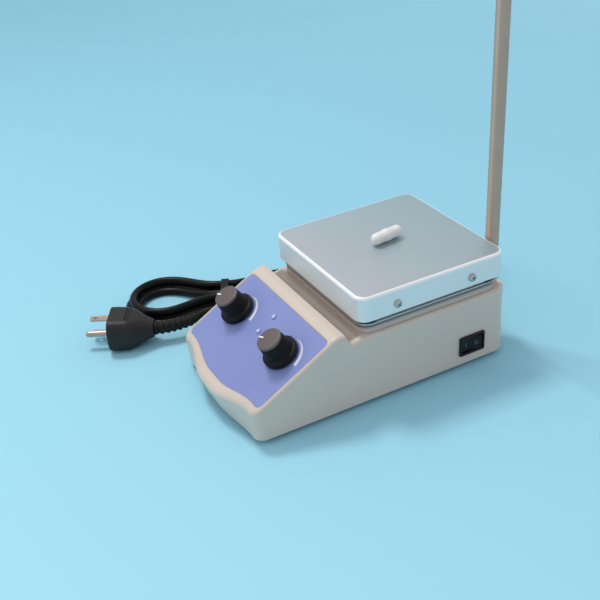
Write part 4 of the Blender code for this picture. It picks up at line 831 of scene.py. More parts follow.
carve(housing, softened(lug_outline, LUG_TOP - LUG_HEIGHT, LUG_TOP, LUG_EDGE), "UNION")
carve(housing, on_slope(skin([level(panel_outline(RECESS_GAP), -RECESS_DEPTH),
                              level(panel_outline(RECESS_GAP), -RECESS_LIP),
                              level(panel_outline(RECESS_FLARE), RECESS_LIP),
                              level(panel_outline(RECESS_FLARE), CUT_OVERRUN)])))
for x, y, radius, sides in PANEL_HOLES:
    carve(housing, on_slope(prism(circle(radius, (x, y), sides), -SLOPE_CUT, CUT_OVERRUN)))
switch_hole = prism(rounded_rectangle(SWITCH_CUT_HEIGHT, SWITCH_CUT_LENGTH, SWITCH_CUT_CORNER),
                    -WALL - CUT_OVERRUN, CUT_OVERRUN)
carve(housing, shifted(turned_over(switch_hole, math.pi / 2, "Y"), HOUSING_WIDTH / 2, SWITCH_Y, SWITCH_Z))
gland_hole = turned_over(prism(circle(GLAND_HOLE), -GLAND_CUT_IN, GLAND_CUT_OUT), -math.pi / 2, "X")
carve(housing, shifted(gland_hole, GLAND_X, REAR_REACH, GLAND_Z))
upright_cut(ROD_HOLE, ROD_X, ROD_Y, LUG_TOP - LUG_HEIGHT - CUT_OVERRUN, LUG_TOP + CUT_OVERRUN)
upright_cut(ROD_NOTCH, ROD_X, ROD_Y, LUG_TOP, DECK_HEIGHT + CUT_OVERRUN)
upright_cut(NUT_POCKET, ROD_X, ROD_Y, NUT_POCKET_FOOT, LUG_TOP - LUG_HEIGHT)
upright_cut(SHAFT_HOLE, 0, 0, DECK_HEIGHT - TOP_WALL - CUT_OVERRUN, DECK_HEIGHT + CUT_OVERRUN)
even_shading(housing, CLOSE_SMOOTH_ANGLE)
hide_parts("housing")
print("housing faces:", len(housing.data.polygons))

# %% [markdown]
# Stoved paint on a casting is never quite flat. It has a fine orange-peel skin, faint clouds in its tone,
# and it sits a little thinner and lighter in patches. All of it is weak: from a step away it reads as one
# satin grey. In the gutter before the plate the tone is painted darker, as painted shade. That band of
# painted shade is worked out from the place on the casting, and it fades out towards the ridge, the deck
# and both side walls.

# %% Paint
# Where the gutter's painted shade lies, and how fast it fades.
PAINTED_SHADE_MIDDLE = -0.0622
PAINTED_SHADE_HALF_WIDTH = 0.0060
PAINTED_SHADE_UNDER_RIDGE = 0.0003
PAINTED_SHADE_FADE = 900.0
PAINTED_SHADE_SIDE_FADE = 400.0

paint = Finish("warm grey stoved paint", rgb(212, 198, 184), 0.42, Coat_Weight=0.35, Coat_Roughness=0.2)
paint_clouds = paint.noise(22.0, 3.0)
paint_specks = paint.noise(1500.0, 1.0)
paint_peel = paint.noise(650.0, 2.0)
paint_x, paint_y, paint_z = paint.parts(paint.spot())
# Painted shade: a band in the gutter, darkest at its middle, fading towards the ridge, deck and side walls.
across_gutter = (paint_y - PAINTED_SHADE_MIDDLE).size() / PAINTED_SHADE_HALF_WIDTH
below_ridge = ((RIDGE_HEIGHT - PAINTED_SHADE_UNDER_RIDGE - paint_z) * PAINTED_SHADE_FADE).clipped()
above_gutter = ((paint_z - GUTTER_HEIGHT + EDGE_ROUND / 2) * PAINTED_SHADE_FADE).clipped()
inside_edge = ((HOUSING_WIDTH / 2 - EDGE_ROUND - paint_x.size()) * PAINTED_SHADE_SIDE_FADE).clipped()
painted_gutter_shade = ((1 - across_gutter) * 2.0).clipped() * below_ridge * above_gutter * inside_edge
paint_clean = paint.blend(paint_clouds, rgb(208, 195, 182), rgb(217, 205, 192))
# The dark tone here is the colour of the painted shade in the gutter.
paint_tone = paint.blend(painted_gutter_shade * (paint_clouds * 0.4 + 0.5), paint_clean, rgb(100, 92, 84))
paint.mottle((paint_specks > 0.68) * 0.25, paint_tone, rgb(192, 178, 165))
paint.set("Roughness", paint_clouds * 0.14 + 0.36)
paint.bumps(paint_peel, 0.00012, 0.5)
dress(paint, housing)

# %% [markdown]
# The front panel is a stiff foil on a thin plate, let into the casting. It follows the outline of its
# recess, so the same function draws it, and it is open where the controls and the lamps come through.

# %% Front panel
PANEL_GROWTH = 0.0002
PANEL_EDGE = 0.0002
PANEL_CUT = 0.004

panel_face = PANEL_THICKNESS + SEAT_GAP - RECESS_DEPTH
panel_form = softened(lambda inset: panel_outline(PANEL_GROWTH - inset), panel_face - PANEL_THICKNESS,
                      panel_face, PANEL_EDGE, 2)
panel = piece("printed_panel", panel_form, "base", SLOPE)
for x, y, radius, sides in PANEL_HOLES:
    carve(panel, prism(circle(radius, (x, y), sides), -PANEL_CUT, CUT_OVERRUN))
even_shading(panel)
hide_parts("front_panel")
print("panel face, mm from the slope:", round(panel_face * 1000, 2))

# %% [markdown]
# The foil is violet blue with a fine matt grain. The only print is generic: a white wedge round each knob
# that widens clockwise, to show that more is to the right. The wedge is worked out in the panel's own frame
# from the distance and the angle to each knob, so it needs no picture.

# %% Panel print
WEDGE_START = math.radians(-6)
WEDGE_END = math.radians(88)
WEDGE_INNER = 0.0142
WEDGE_THIN = 0.0003
WEDGE_THICK = 0.0030

foil = Finish("violet blue foil", rgb(132, 147, 205), 0.38)
foil_grain = foil.noise(2600.0, 1.0)
foil_clouds = foil.noise(30.0, 2.0)
foil_x, foil_y, _ = foil.parts(foil.spot())


def wedge(knob_x):
    """One inside the white wedge of the knob at that place, zero outside."""
    across = foil_x - knob_x
    up = foil_y - KNOB_RISE
    distance = (across * across + up * up) ** 0.5
    clockwise = across.math("ARCTAN2", up)
    share = (clockwise - WEDGE_START) / (WEDGE_END - WEDGE_START)
    width = share.clipped() * (WEDGE_THICK - WEDGE_THIN) + WEDGE_THIN
    inside = (distance > WEDGE_INNER) * ((distance - width) < WEDGE_INNER)
    return inside * (share > 0.0) * (share < 1.0)


white_print = (wedge(-KNOB_X) + wedge(KNOB_X)).clipped()
foil_tone = foil.blend(foil_clouds, rgb(127, 142, 202), rgb(138, 152, 208))
foil.mottle(white_print, foil_tone, rgb(222, 225, 242), 0.36, 0.08)
foil.bumps(foil_grain + white_print * 2.0, 0.00004, 0.35)
dress(foil, panel)

# %% [markdown]
# Each knob is a turned plastic form: a low skirt with a rounded lip, a hollow flare and a grip that tapers
# slightly. Its metal cap is spun and carries a short white line at its rim that points to the scale. Knob
# and cap are turned from half sections. The line and its groove are small prisms.

# %% Sections of the knob and its cap
SKIRT_RADIUS = 0.0129
SKIRT_HEIGHT = 0.0040
SKIRT_LIP = 0.0006
SKIRT_FOOT_EDGE = 0.0004
SKIRT_TOP_EDGE = 0.0007
KNOB_FOOT_RADIUS = 0.0101
KNOB_TOP_RADIUS = 0.0090
KNOB_TOP_EDGE = 0.0002
KNOB_HEIGHT = 0.0171
KNOB_LIFT = 0.0008
KNOB_BORE = 0.0033
KNOB_HOLLOW = 0.0074
KNOB_HOLLOW_DEPTH = 0.0042
SHAFT_STAND = 0.0135
CAP_RADIUS = 0.0089
CAP_THICKNESS = 0.0019
CAP_SINK = 0.0012
CAP_GAP = 0.00006
CAP_EDGE = ((0, 0.0007), (0.0001, 0.0004), (0.0004, 0.0001), (0.0007, 0))
POINTER_LENGTH = 0.0043
POINTER_WIDTH = 0.0012
POINTER_CORNER = 0.0002
POINTER_GAP = 0.0001
POINTER_DEPTH = 0.0004
POINTER_PROUD = 0.00005
POINTER_AT_REST = math.radians(202.5)
KNOB_SIDES = 96
KNOB_SMOOTH_ANGLE = math.radians(40)

knob_low = panel_face + KNOB_LIFT
knob_top = knob_low + KNOB_HEIGHT
skirt_top = knob_low + SKIRT_HEIGHT
cap_seat = knob_top - CAP_SINK
flare = SKIRT_RADIUS - SKIRT_LIP - KNOB_FOOT_RADIUS
knob_section = [(0, SHAFT_STAND + SEAT_GAP), (KNOB_BORE, SHAFT_STAND + SEAT_GAP),
                (KNOB_BORE, knob_low + KNOB_HOLLOW_DEPTH), (KNOB_HOLLOW, knob_low + KNOB_HOLLOW_DEPTH),
                (KNOB_HOLLOW, knob_low), (SKIRT_RADIUS - SKIRT_FOOT_EDGE, knob_low),
                (SKIRT_RADIUS, knob_low + SKIRT_LIP), (SKIRT_RADIUS, skirt_top - SKIRT_TOP_EDGE),
                (SKIRT_RADIUS - SKIRT_LIP, skirt_top)]
knob_section += [(SKIRT_RADIUS - SKIRT_LIP - flare * math.sin(angle),
                  skirt_top + flare * (1 - math.cos(angle))) for angle in quarter(8, 1)]
knob_section += [(KNOB_TOP_RADIUS, cap_seat - KNOB_TOP_EDGE), (KNOB_TOP_RADIUS - KNOB_TOP_EDGE, cap_seat),
                 (0, cap_seat)]

cap_low = cap_seat + CAP_GAP
cap_top = cap_low + CAP_THICKNESS
cap_section = [(0, cap_low), (CAP_RADIUS, cap_low)]
cap_section += [(CAP_RADIUS - inward, cap_top - down) for inward, down in CAP_EDGE]
cap_section.append((0, cap_top))
pointer_middle = CAP_RADIUS - POINTER_LENGTH / 2
groove_outline = rounded_rectangle(POINTER_LENGTH + CUT_OVERRUN, POINTER_WIDTH, POINTER_CORNER,
                                   (pointer_middle + CUT_OVERRUN / 2, 0))
line_outline = rounded_rectangle(POINTER_LENGTH - POINTER_GAP, POINTER_WIDTH - POINTER_GAP, POINTER_CORNER,
                                 (pointer_middle - POINTER_GAP / 2, 0))
print("cap's top, mm over the slope:", round(cap_top * 1000, 2))

# %% [markdown]
# Both controls are the same parts on two shafts, so one loop makes them. The cap and its line are turned to
# where the pointer rests, and they ride on the body of their own control.

# %% Knobs, caps and lines
knobs = []
caps = []
pointers = []
for name, x, body in (("stir", -KNOB_X, "stir_control"), ("heat", KNOB_X, "heat_control")):
    place = SLOPE @ Matrix.Translation((x, KNOB_RISE, 0))
    knob = piece(f"{name}_grip", turned(knob_section, KNOB_SIDES), body, place, KNOB_SMOOTH_ANGLE)
    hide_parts(f"{name}_knob")
    knobs.append(knob)
    place = place @ Matrix.Rotation(POINTER_AT_REST, 4, "Z")
    cap = piece(f"{name}_spun_cap", turned(cap_section, KNOB_SIDES), body, place)
    carve(cap, prism(groove_outline, cap_top - POINTER_DEPTH, cap_top + CUT_OVERRUN / 2))
    even_shading(cap)
    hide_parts(f"{name}_knob_cap")
    caps.append(cap)
    line_form = prism(line_outline, cap_top - POINTER_DEPTH, cap_top + POINTER_PROUD)
    line = piece(f"{name}_pointer_line", line_form, body, place)
    pointers.append(line)
print("knob faces:", [len(knob.data.polygons) for knob in knobs])

# %% [markdown]
# The knob's plastic is nearly black, with a fine moulded grain and faint patches from handling. The spun
# cap has rings round its axis, so its noise is read by the distance from the axis alone. The line is plain
# paint.

# %% Knob plastic, spun cap and white line
SPUN_RINGS = 9000.0

knob_plastic = Finish("moulded black plastic", rgb(8, 8, 10), 0.5, Specular_IOR_Level=0.22)
moulded_grain = knob_plastic.noise(1400.0, 2.0)
handled = knob_plastic.noise(90.0, 3.0)
knob_plastic.mottle(handled, rgb(6, 6, 9), rgb(12, 12, 15), 0.4, 0.2)
knob_plastic.bumps(moulded_grain, 0.00005, 0.4)
dress(knob_plastic, *knobs)

spun = Finish("spun aluminium cap", rgb(112, 104, 102), 0.34, 0.7)
spun_x, spun_y, _ = spun.parts(spun.spot())
spun_distance = (spun_x * spun_x + spun_y * spun_y) ** 0.5
spun_place = spun.node("ShaderNodeCombineXYZ", (), {0: spun_distance * SPUN_RINGS})
spun_rings = spun.noise(1.0, 2.0, vector=spun_place)
spun.mottle(spun_rings, rgb(102, 94, 94), rgb(124, 114, 111), 0.3, 0.2)
spun.bumps(spun_rings, 0.00003, 0.5)
dress(spun, *caps)

white_paint = Finish("white line paint", rgb(240, 240, 236), 0.5)
white_paint.mottle(white_paint.noise(900.0, 2.0), rgb(232, 232, 226), rgb(248, 248, 245))
dress(white_paint, *pointers)

# %% [markdown]
# Two small lamps shine through the panel. Each is a clear moulded dome with a milky body and a collar
# behind the panel. They are off here, so they only catch the light.

# %% Lamps
LAMP_RADIUS = 0.0016
LAMP_FOOT = -0.0067
COLLAR_RADIUS = 0.0026
COLLAR_LOW = -0.0049
COLLAR_HIGH = -0.0039
LAMP_STAND = 0.0010
LAMP_DOME = 0.0008

lens = Finish("milky lamp lens", rgb(196, 204, 240), 0.3, IOR=1.49)
lens.mottle(lens.noise(700.0, 2.0), rgb(186, 194, 236), rgb(208, 214, 244))
dome_foot = panel_face + LAMP_STAND
lamp_section = [(0, LAMP_FOOT), (LAMP_RADIUS, LAMP_FOOT), (LAMP_RADIUS, COLLAR_LOW),
                (COLLAR_RADIUS, COLLAR_LOW), (COLLAR_RADIUS, COLLAR_HIGH), (LAMP_RADIUS, COLLAR_HIGH),
                (LAMP_RADIUS, dome_foot)]
lamp_section += [(LAMP_RADIUS * math.cos(angle), dome_foot + LAMP_DOME * math.sin(angle))
                 for angle in quarter(8, 1)[:-1]]
lamp_section.append((0, dome_foot + LAMP_DOME))
for name, rise in (("power", LAMP_RISES[0]), ("heat", LAMP_RISES[1])):
    place = SLOPE @ Matrix.Translation((LAMP_X, rise, 0))
    lamp = piece(f"{name}_lamp_dome", turned(lamp_section, 32), "base", place)
    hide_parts(f"{name}_lamp")
    dress(lens, lamp)

# %% [markdown]
# The heating plate is a shallow lid of aluminium. Its upright corners are round, its top edge turns over,
# and its skirt has a hole for each of the four side screws. A softened prism with a prism cut out of it is
# enough.

# %% Heating plate
PLATE_SIDE = 0.1200
PLATE_TOP = 0.0862
PLATE_SKIRT = 0.0184
PLATE_CORNER = 0.0085
PLATE_EDGE = 0.0020
PLATE_WALL = 0.0020
PLATE_FACE = 0.0030
PLATE_SCREW_Y = 0.0305
PLATE_SCREW_Z = 0.0745
PLATE_HOLE = 0.0018
PLATE_HOLE_CUT = 0.004


def plate_outline(inset):
    """The plate seen from above, drawn in by an inset."""
    side = PLATE_SIDE - 2 * inset
    return rounded_rectangle(side, side, PLATE_CORNER - inset, steps=16)


plate_form = softened(plate_outline, PLATE_TOP - PLATE_SKIRT, PLATE_TOP, PLATE_EDGE, 8, False)
plate = piece("satin_plate", plate_form, "base")
carve(plate, prism(plate_outline(PLATE_WALL), PLATE_TOP - PLATE_SKIRT - CUT_OVERRUN, PLATE_TOP - PLATE_FACE))
for side in (-1, 1):
    for along in (-1, 1):
        hole = prism(circle(PLATE_HOLE, steps=24), -PLATE_HOLE_CUT, PLATE_HOLE_CUT)
        hole = turned_over(hole, math.pi / 2, "Y")
        carve(plate, shifted(hole, side * PLATE_SIDE / 2, along * PLATE_SCREW_Y, PLATE_SCREW_Z))
even_shading(plate, CLOSE_SMOOTH_ANGLE)
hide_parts("heating_plate")
print("plate faces:", len(plate.data.polygons))

# %% [markdown]
# The plate's face is satin, as if bead-blasted. The band where its edge turns over is painted near white as a
# painted highlight, and the skirt's sides are painted lighter than the face as painted light. Three masks
# tell them apart: the height gives what lies above the skirt, the distance from the edge gives the band, and
# the face is the rest. The face is painted bluer towards the back, as a painted reflection.

# %% Plate finish
# Where the painted highlight along the plate's turned-over edge lies.
HIGHLIGHT_BAND_FOOT = 0.0002
HIGHLIGHT_BAND_RISE_FADE = 3000.0
HIGHLIGHT_BAND_WIDTH = 0.0020
HIGHLIGHT_BAND_FADE = 2200.0

satin = Finish("satin aluminium plate", rgb(186, 189, 193), 0.42, 0.75)
satin_x, satin_y, satin_z = satin.parts(satin.spot())
satin_grain = satin.noise(1800.0, 2.0)
satin_clouds = satin.noise(14.0, 3.0)
satin_drag = satin.grain(30.0, 900.0, 900.0)
edge_x = satin_x.size() - (PLATE_SIDE / 2 - PLATE_CORNER)
edge_y = satin_y.size() - (PLATE_SIDE / 2 - PLATE_CORNER)
round_x = edge_x.math("MAXIMUM", 0.0)
round_y = edge_y.math("MAXIMUM", 0.0)
inside_flat = edge_x.math("MAXIMUM", edge_y).math("MINIMUM", 0.0)
from_edge = PLATE_CORNER - (round_x * round_x + round_y * round_y) ** 0.5 - inside_flat
satin_upper = ((satin_z - (PLATE_TOP - PLATE_EDGE - HIGHLIGHT_BAND_FOOT)) * HIGHLIGHT_BAND_RISE_FADE).clipped()
# The rim band is a painted highlight: its colour is painted near white.
rim_highlight = satin_upper * ((HIGHLIGHT_BAND_WIDTH - from_edge) * HIGHLIGHT_BAND_FADE).clipped()
satin_top = satin_upper - rim_highlight
# Painted reflection: the face is painted bluer towards the back.
painted_back_reflection = (satin_y * 4.5 - satin_x * 1.5 + satin_clouds * 0.4 + 0.3).clipped()
satin_face = satin.blend(painted_back_reflection, rgb(199, 203, 208), rgb(166, 199, 206))
# Painted light: the plate's sides are painted lighter than its face.
painted_bright_sides = satin.blend(satin_clouds, rgb(236, 236, 236), rgb(246, 246, 245))
satin.mottle(rim_highlight, satin.blend(satin_top, painted_bright_sides, satin_face), rgb(252, 252, 251))
satin.set("Metallic", satin_top * 0.3 + 0.5 - rim_highlight * 0.4)
satin.set("Roughness", satin_clouds * 0.1 + satin_drag * 0.08 + 0.36 - rim_highlight * 0.1)
satin.bumps(satin_grain + satin_drag * 0.5, 0.00003, 0.4)
dress(satin, plate)

# %% [markdown]
# Pan-head screws hold the plate's sides, the brackets and the feet. A cross recess is what makes a small
# disc read as a screw, so the four that show get real heads with a cut cross.

# %% Plate screws
SHANK_RADIUS = 0.0015
SCREW_GRIP = 0.0055
HEAD_RADIUS = 0.0028
HEAD_HEIGHT = 0.0019
HEAD_RIM = 0.35
HEAD_FLAT = 0.45
CROSS_LENGTH = 1.15
CROSS_WIDTH = 0.26
CROSS_CORNER = 0.08
SCREW_TURN = 0.4


def cross_screw(name, place):
    """A pan-head screw with a cross recess. Its seat is at zero and its shank runs down."""
    rim = HEAD_HEIGHT * HEAD_RIM
    section = [(0, -SCREW_GRIP), (SHANK_RADIUS, -SCREW_GRIP), (SHANK_RADIUS, 0), (HEAD_RADIUS, 0),
               (HEAD_RADIUS, rim)]
    section += [(HEAD_RADIUS * (HEAD_FLAT + (1 - HEAD_FLAT) * math.cos(angle)),
                 HEAD_HEIGHT * (HEAD_RIM + (1 - HEAD_RIM) * math.sin(angle))) for angle in quarter(6, 1)]
    section.append((0, HEAD_HEIGHT))
    screw = piece(f"cross_{name}", turned(section, 40), "base", place)
    for turn in (0, 1):
        outline = rounded_rectangle(HEAD_RADIUS * CROSS_LENGTH, HEAD_RADIUS * CROSS_WIDTH,
                                    HEAD_RADIUS * CROSS_CORNER, steps=3)
        bar = prism(outline, rim, HEAD_HEIGHT + CUT_OVERRUN / 2)
        carve(screw, turned_over(bar, turn * math.pi / 2, "Z"))
    even_shading(screw)
    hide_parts(name)
    return screw


plate_screws = []
for side_name, side in (("left", -1), ("right", 1)):
    for along_name, along in (("front", -1), ("rear", 1)):
        seat = Matrix.Translation((side * (PLATE_SIDE / 2 + SEAT_GAP), along * PLATE_SCREW_Y, PLATE_SCREW_Z))
        place = BENCH @ seat @ Matrix.Rotation(side * math.pi / 2, 4, "Y")
        place = place @ Matrix.Rotation(SCREW_TURN + along, 4, "Z")
        plate_screws.append(cross_screw(f"plate_screw_{along_name}_{side_name}", place))
print("plate screws:", len(plate_screws))

# %% [markdown]
# Bright metals differ by how they were worked. Drawn stainless has long fine lines, zinc plate has soft
# crystals and machined aluminium has short scratches. The stainless and the aluminium each stretch one noise
# their own way, and the zinc's crystals are cells.

# %% Screws, plated steel and machined aluminium
stainless = Finish("drawn stainless steel", rgb(196, 192, 188), 0.3, 0.9)
stainless_lines = stainless.grain(1500.0, 1500.0, 12.0, 3.0)
stainless.mottle(stainless.noise(40.0, 2.0), rgb(186, 182, 178), rgb(206, 202, 198))
stainless.set("Roughness", stainless_lines * 0.18 + 0.16)
stainless.bumps(stainless_lines, 0.00002, 0.5)
dress(stainless, *plate_screws, "motor_shaft")

zinc = Finish("zinc plated steel", rgb(190, 190, 186), 0.36, 0.9)
zinc_crystals = zinc.node("ShaderNodeTexVoronoi", (), {"Vector": zinc.spot(), "Scale": 420.0}, output="Color")
zinc.mottle(zinc.parts(zinc_crystals)[0], rgb(176, 176, 173), rgb(206, 206, 203), 0.28, 0.16)
zinc.bumps(zinc.noise(900.0, 2.0), 0.00003, 0.4)
dress(zinc, "base_cover", "foot_screw_front_left", "foot_screw_front_right", "foot_screw_rear_left",
      "foot_screw_rear_right", "stir_potentiometer", "heat_potentiometer", "stir_pot_nut", "heat_pot_nut",
      "stir_shaft", "heat_shaft", "motor", "motor_screw_left", "motor_screw_right",
      "plate_bracket_left", "plate_bracket_right", "tray_screw_left", "tray_screw_right", "rod_nut")

machined = Finish("machined aluminium", rgb(200, 201, 203), 0.34, 0.95)
machined.mottle(machined.grain(200.0, 1800.0, 1800.0), rgb(188, 189, 191), rgb(212, 213, 215), 0.24, 0.2)
dress(machined, "magnet_holder")

# %% [markdown]
# Of the tray under the plate only the edge is seen. It is read here as a bare bright lip with a painted shade
# just below it and a tan side below that. Its height on the piece gives all three.

# %% Tray
TRAY_TOP = 0.0638
TRAY_LIP_HEIGHT = 0.0010
TRAY_LIP_FADE = 8000.0
# How far below the lip the painted shade reaches.
TRAY_PAINTED_SHADE_DEPTH = 0.0032

tray_paint = Finish("pressed tray, painted below its lip", rgb(170, 156, 146), 0.5)
tray_z = tray_paint.parts(tray_paint.spot())[2]
tray_scuffs = tray_paint.noise(500.0, 3.0)
tray_lip = ((tray_z - (TRAY_TOP - TRAY_LIP_HEIGHT)) * TRAY_LIP_FADE + tray_scuffs * 0.4 - 0.2).clipped()
# Painted shade: darkest just under the lip, fading downwards.
tray_painted_shade = ((TRAY_PAINTED_SHADE_DEPTH - (TRAY_TOP - TRAY_LIP_HEIGHT - tray_z)) / TRAY_PAINTED_SHADE_DEPTH).clipped() ** 0.6
tray_clean = tray_paint.blend(tray_scuffs, rgb(186, 172, 162), rgb(202, 188, 178))
tray_tone = tray_paint.blend(tray_painted_shade, tray_clean, rgb(52, 48, 46))
tray_paint.mottle(tray_lip, tray_tone, rgb(198, 196, 194))
tray_paint.set("Metallic", tray_lip * 0.6)
tray_paint.set("Roughness", 0.5 - tray_lip * 0.16)
tray_paint.bumps(tray_scuffs, 0.00005, 0.4)
dress(tray_paint, "plate_tray")

# %% [markdown]
# The support rod is a ground stainless bar, thinner at its foot, where it passes the lug, and rounded at
# its top. Only a smooth tall cylinder shows the long soft reflections that make it look like steel, so it
# is turned again with many more sides.

# %% Support rod
ROD_RADIUS = 0.00485
ROD_LENGTH = 0.3000
ROD_EDGE = 0.0002
ROD_ROUND = 0.001
STUD_RADIUS = 0.0037
STUD_LENGTH = 0.0260
STUD_POINT = 0.0010

rod_seat = LUG_TOP + SEAT_GAP
rod_top = rod_seat + ROD_LENGTH
stud_foot = rod_seat - STUD_LENGTH
rod_section = [(0, stud_foot), (STUD_RADIUS - STUD_POINT, stud_foot), (STUD_RADIUS, stud_foot + STUD_POINT),
               (STUD_RADIUS, rod_seat), (ROD_RADIUS - ROD_EDGE, rod_seat), (ROD_RADIUS, rod_seat + ROD_EDGE)]
rod_section += [(ROD_RADIUS - ROD_ROUND * (1 - math.cos(angle)), rod_top - ROD_ROUND * (1 - math.sin(angle)))
                for angle in quarter(5)]
rod_section.append((0, rod_top))
rod = piece("drawn_rod", turned(rod_section, 72), "base", BENCH @ Matrix.Translation((ROD_X, ROD_Y, 0)))
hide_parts("support_rod")
print("rod's top, metres:", round(rod_top, 4))

ground = Finish("ground stainless bar", rgb(204, 180, 162), 0.5, 1.0, Anisotropic=0.8,
                Anisotropic_Rotation=0.25)
ground_rings = ground.grain(40.0, 40.0, 3000.0, 3.0)
ground_stain = ground.noise(36.0, 3.0)
ground.mottle(ground_stain, rgb(196, 170, 151), rgb(212, 191, 175))
ground.set("Roughness", ground_rings * 0.12 + ground_stain * 0.1 + 0.38)
ground.bumps(ground_rings, 0.00001, 0.3)
dress(ground, rod)

# %% [markdown]
# The mains switch is a snap-in rocker. Its bezel has soft moulded edges round a deep well, with a box
# behind it that passes through the wall. The box is joined to the bezel, and then the well is cut into
# both.

# %% Mains switch
BEZEL_HEIGHT = 0.0156
BEZEL_LENGTH = 0.0218
BEZEL_CORNER = 0.0012
BEZEL_EDGE = 0.0006
BEZEL_THICKNESS = 0.0015
BOX_HEIGHT = 0.0138
BOX_LENGTH = 0.0202
BOX_CORNER = 0.0010
WELL_LENGTH = 0.0182
WELL_HEIGHT = 0.0118
WELL_DEPTH = 0.0115
WELL_CORNER = 0.0005
WELL_MOUTH = 0.0010
WELL_MOUTH_CORNER = 0.0009
WELL_MOUTH_LOW = 0.0004
WELL_MOUTH_HIGH = 0.0002

switch_seat = BENCH @ Matrix.Translation((HOUSING_WIDTH / 2 + SEAT_GAP, SWITCH_Y, SWITCH_Z))
SWITCH = switch_seat @ Matrix.Rotation(math.pi / 2, 4, "Y")


def bezel_outline(inset):
    """The bezel seen from the side, drawn in by an inset."""
    return rounded_rectangle(BEZEL_HEIGHT - 2 * inset, BEZEL_LENGTH - 2 * inset, BEZEL_CORNER - inset,
                             steps=6)


well_outline = rounded_rectangle(WELL_HEIGHT, WELL_LENGTH, WELL_CORNER, steps=4)
mouth_outline = rounded_rectangle(WELL_HEIGHT + WELL_MOUTH, WELL_LENGTH + WELL_MOUTH, WELL_MOUTH_CORNER,
                                  steps=4)
bezel_form = softened(bezel_outline, 0, BEZEL_THICKNESS, BEZEL_EDGE, 5, False)
bezel = piece("switch_bezel", bezel_form, "base", SWITCH)
carve(bezel, prism(rounded_rectangle(BOX_HEIGHT, BOX_LENGTH, BOX_CORNER, steps=6), -WELL_DEPTH - CUT_OVERRUN,
                   BEZEL_THICKNESS / 2), "UNION")
carve(bezel, skin([level(well_outline, -WELL_DEPTH), level(well_outline, BEZEL_THICKNESS - WELL_MOUTH_LOW),
                   level(mouth_outline, BEZEL_THICKNESS + WELL_MOUTH_HIGH)]))
even_shading(bezel)
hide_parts("switch_frame")

# %% [markdown]
# The rocker's face dips to a valley at its middle, and a keel inside holds the pivot. Its outline is drawn
# from above and given the rocker's height. It is built about its own pivot, where its joint turns it.

# %% Rocker
ROCKER_LENGTH = 0.0160
ROCKER_HEIGHT = 0.0110
ROCKER_DISH = math.radians(9)
ROCKER_CURVE = 1.5
ROCKER_PIVOT_DEPTH = 0.0042
ROCKER_SINK = 0.0014
ROCKER_KEEL = 0.0030
ROCKER_EDGE = 0.0004
PIVOT_RADIUS = 0.0010
PIVOT_REACH = 0.0067

pivot_x = HOUSING_WIDTH / 2 + SEAT_GAP + BEZEL_THICKNESS - ROCKER_SINK - ROCKER_PIVOT_DEPTH
ROCKER = BENCH @ Matrix.Translation((pivot_x, SWITCH_Y, SWITCH_Z)) @ Matrix.Rotation(-ROCKER_DISH, 4, "Z")
half_rocker = ROCKER_LENGTH / 2
rocker_rise = half_rocker * math.tan(ROCKER_DISH)


def rocker_outline(inset):
    """The rocker seen from above: a keel inside, and a face that dips to a valley at the pivot."""
    half = half_rocker - inset
    face = [(ROCKER_PIVOT_DEPTH - inset + rocker_rise * abs(share) ** ROCKER_CURVE, half * share)
            for share in [step / 10 for step in range(-10, 11)]]
    keel = inset - ROCKER_KEEL
    return [(0, half)] + face[::-1] + [(0, -half), (keel, -half / 3), (keel, half / 3)]


rocker_form = softened(rocker_outline, -ROCKER_HEIGHT / 2, ROCKER_HEIGHT / 2, ROCKER_EDGE, 3)
rocker = piece("switch_rocker_face", rocker_form, "power_rocker", ROCKER)
carve(rocker, prism(circle(PIVOT_RADIUS, steps=24), -PIVOT_REACH, PIVOT_REACH), "UNION")
even_shading(rocker)
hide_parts("switch_rocker")
print("rocker's rise at its ends, mm:", round(rocker_rise * 1000, 2))

# %% [markdown]
# The two halves of the rocker carry the usual stroke and ring for on and off. They are printed, so each is
# a thin form that leans with the curved face under it.

# %% Marks on the rocker and the switch's plastic
MARK_AT = 0.52
MARK_LIFT = 0.00003
MARK_THICKNESS = 0.00005
RING_INNER = 0.0010
RING_OUTER = 0.0014
STROKE_LENGTH = 0.0030
STROKE_WIDTH = 0.0005
STROKE_CORNER = 0.0002

mark_height = ROCKER_PIVOT_DEPTH + rocker_rise * MARK_AT ** ROCKER_CURVE + MARK_LIFT
mark_lean = math.atan(ROCKER_CURVE * rocker_rise * MARK_AT ** (ROCKER_CURVE - 1) / half_rocker)
ring_form = turned([(RING_INNER, 0), (RING_OUTER, 0), (RING_OUTER, MARK_THICKNESS),
                    (RING_INNER, MARK_THICKNESS)], 32)
stroke_outline = rounded_rectangle(STROKE_LENGTH, STROKE_WIDTH, STROKE_CORNER, steps=3)
stroke_form = prism(stroke_outline, 0, MARK_THICKNESS)
marks = []
for name, side, form in (("off_ring", 1, ring_form), ("on_stroke", -1, stroke_form)):
    place = (ROCKER @ Matrix.Translation((mark_height, side * half_rocker * MARK_AT, 0))
             @ Matrix.Rotation(-side * mark_lean, 4, "Z") @ Matrix.Rotation(math.pi / 2, 4, "Y"))
    mark = piece(name, form, "power_rocker", place)
    marks.append(mark)

faded_print = Finish("faded grey print", rgb(112, 114, 122), 0.5)
faded_print.mottle(faded_print.noise(2200.0, 2.0), rgb(84, 86, 94), rgb(132, 134, 142))
dress(faded_print, *marks)

switch_plastic = Finish("satin switch plastic", rgb(14, 14, 15), 0.36, Specular_IOR_Level=0.35)
switch_plastic.mottle(switch_plastic.noise(120.0, 3.0), rgb(10, 10, 11), rgb(20, 19, 20), 0.26, 0.22)
switch_plastic.bumps(switch_plastic.noise(1600.0, 1.0), 0.00002, 0.3)
dress(switch_plastic, bezel, rocker)

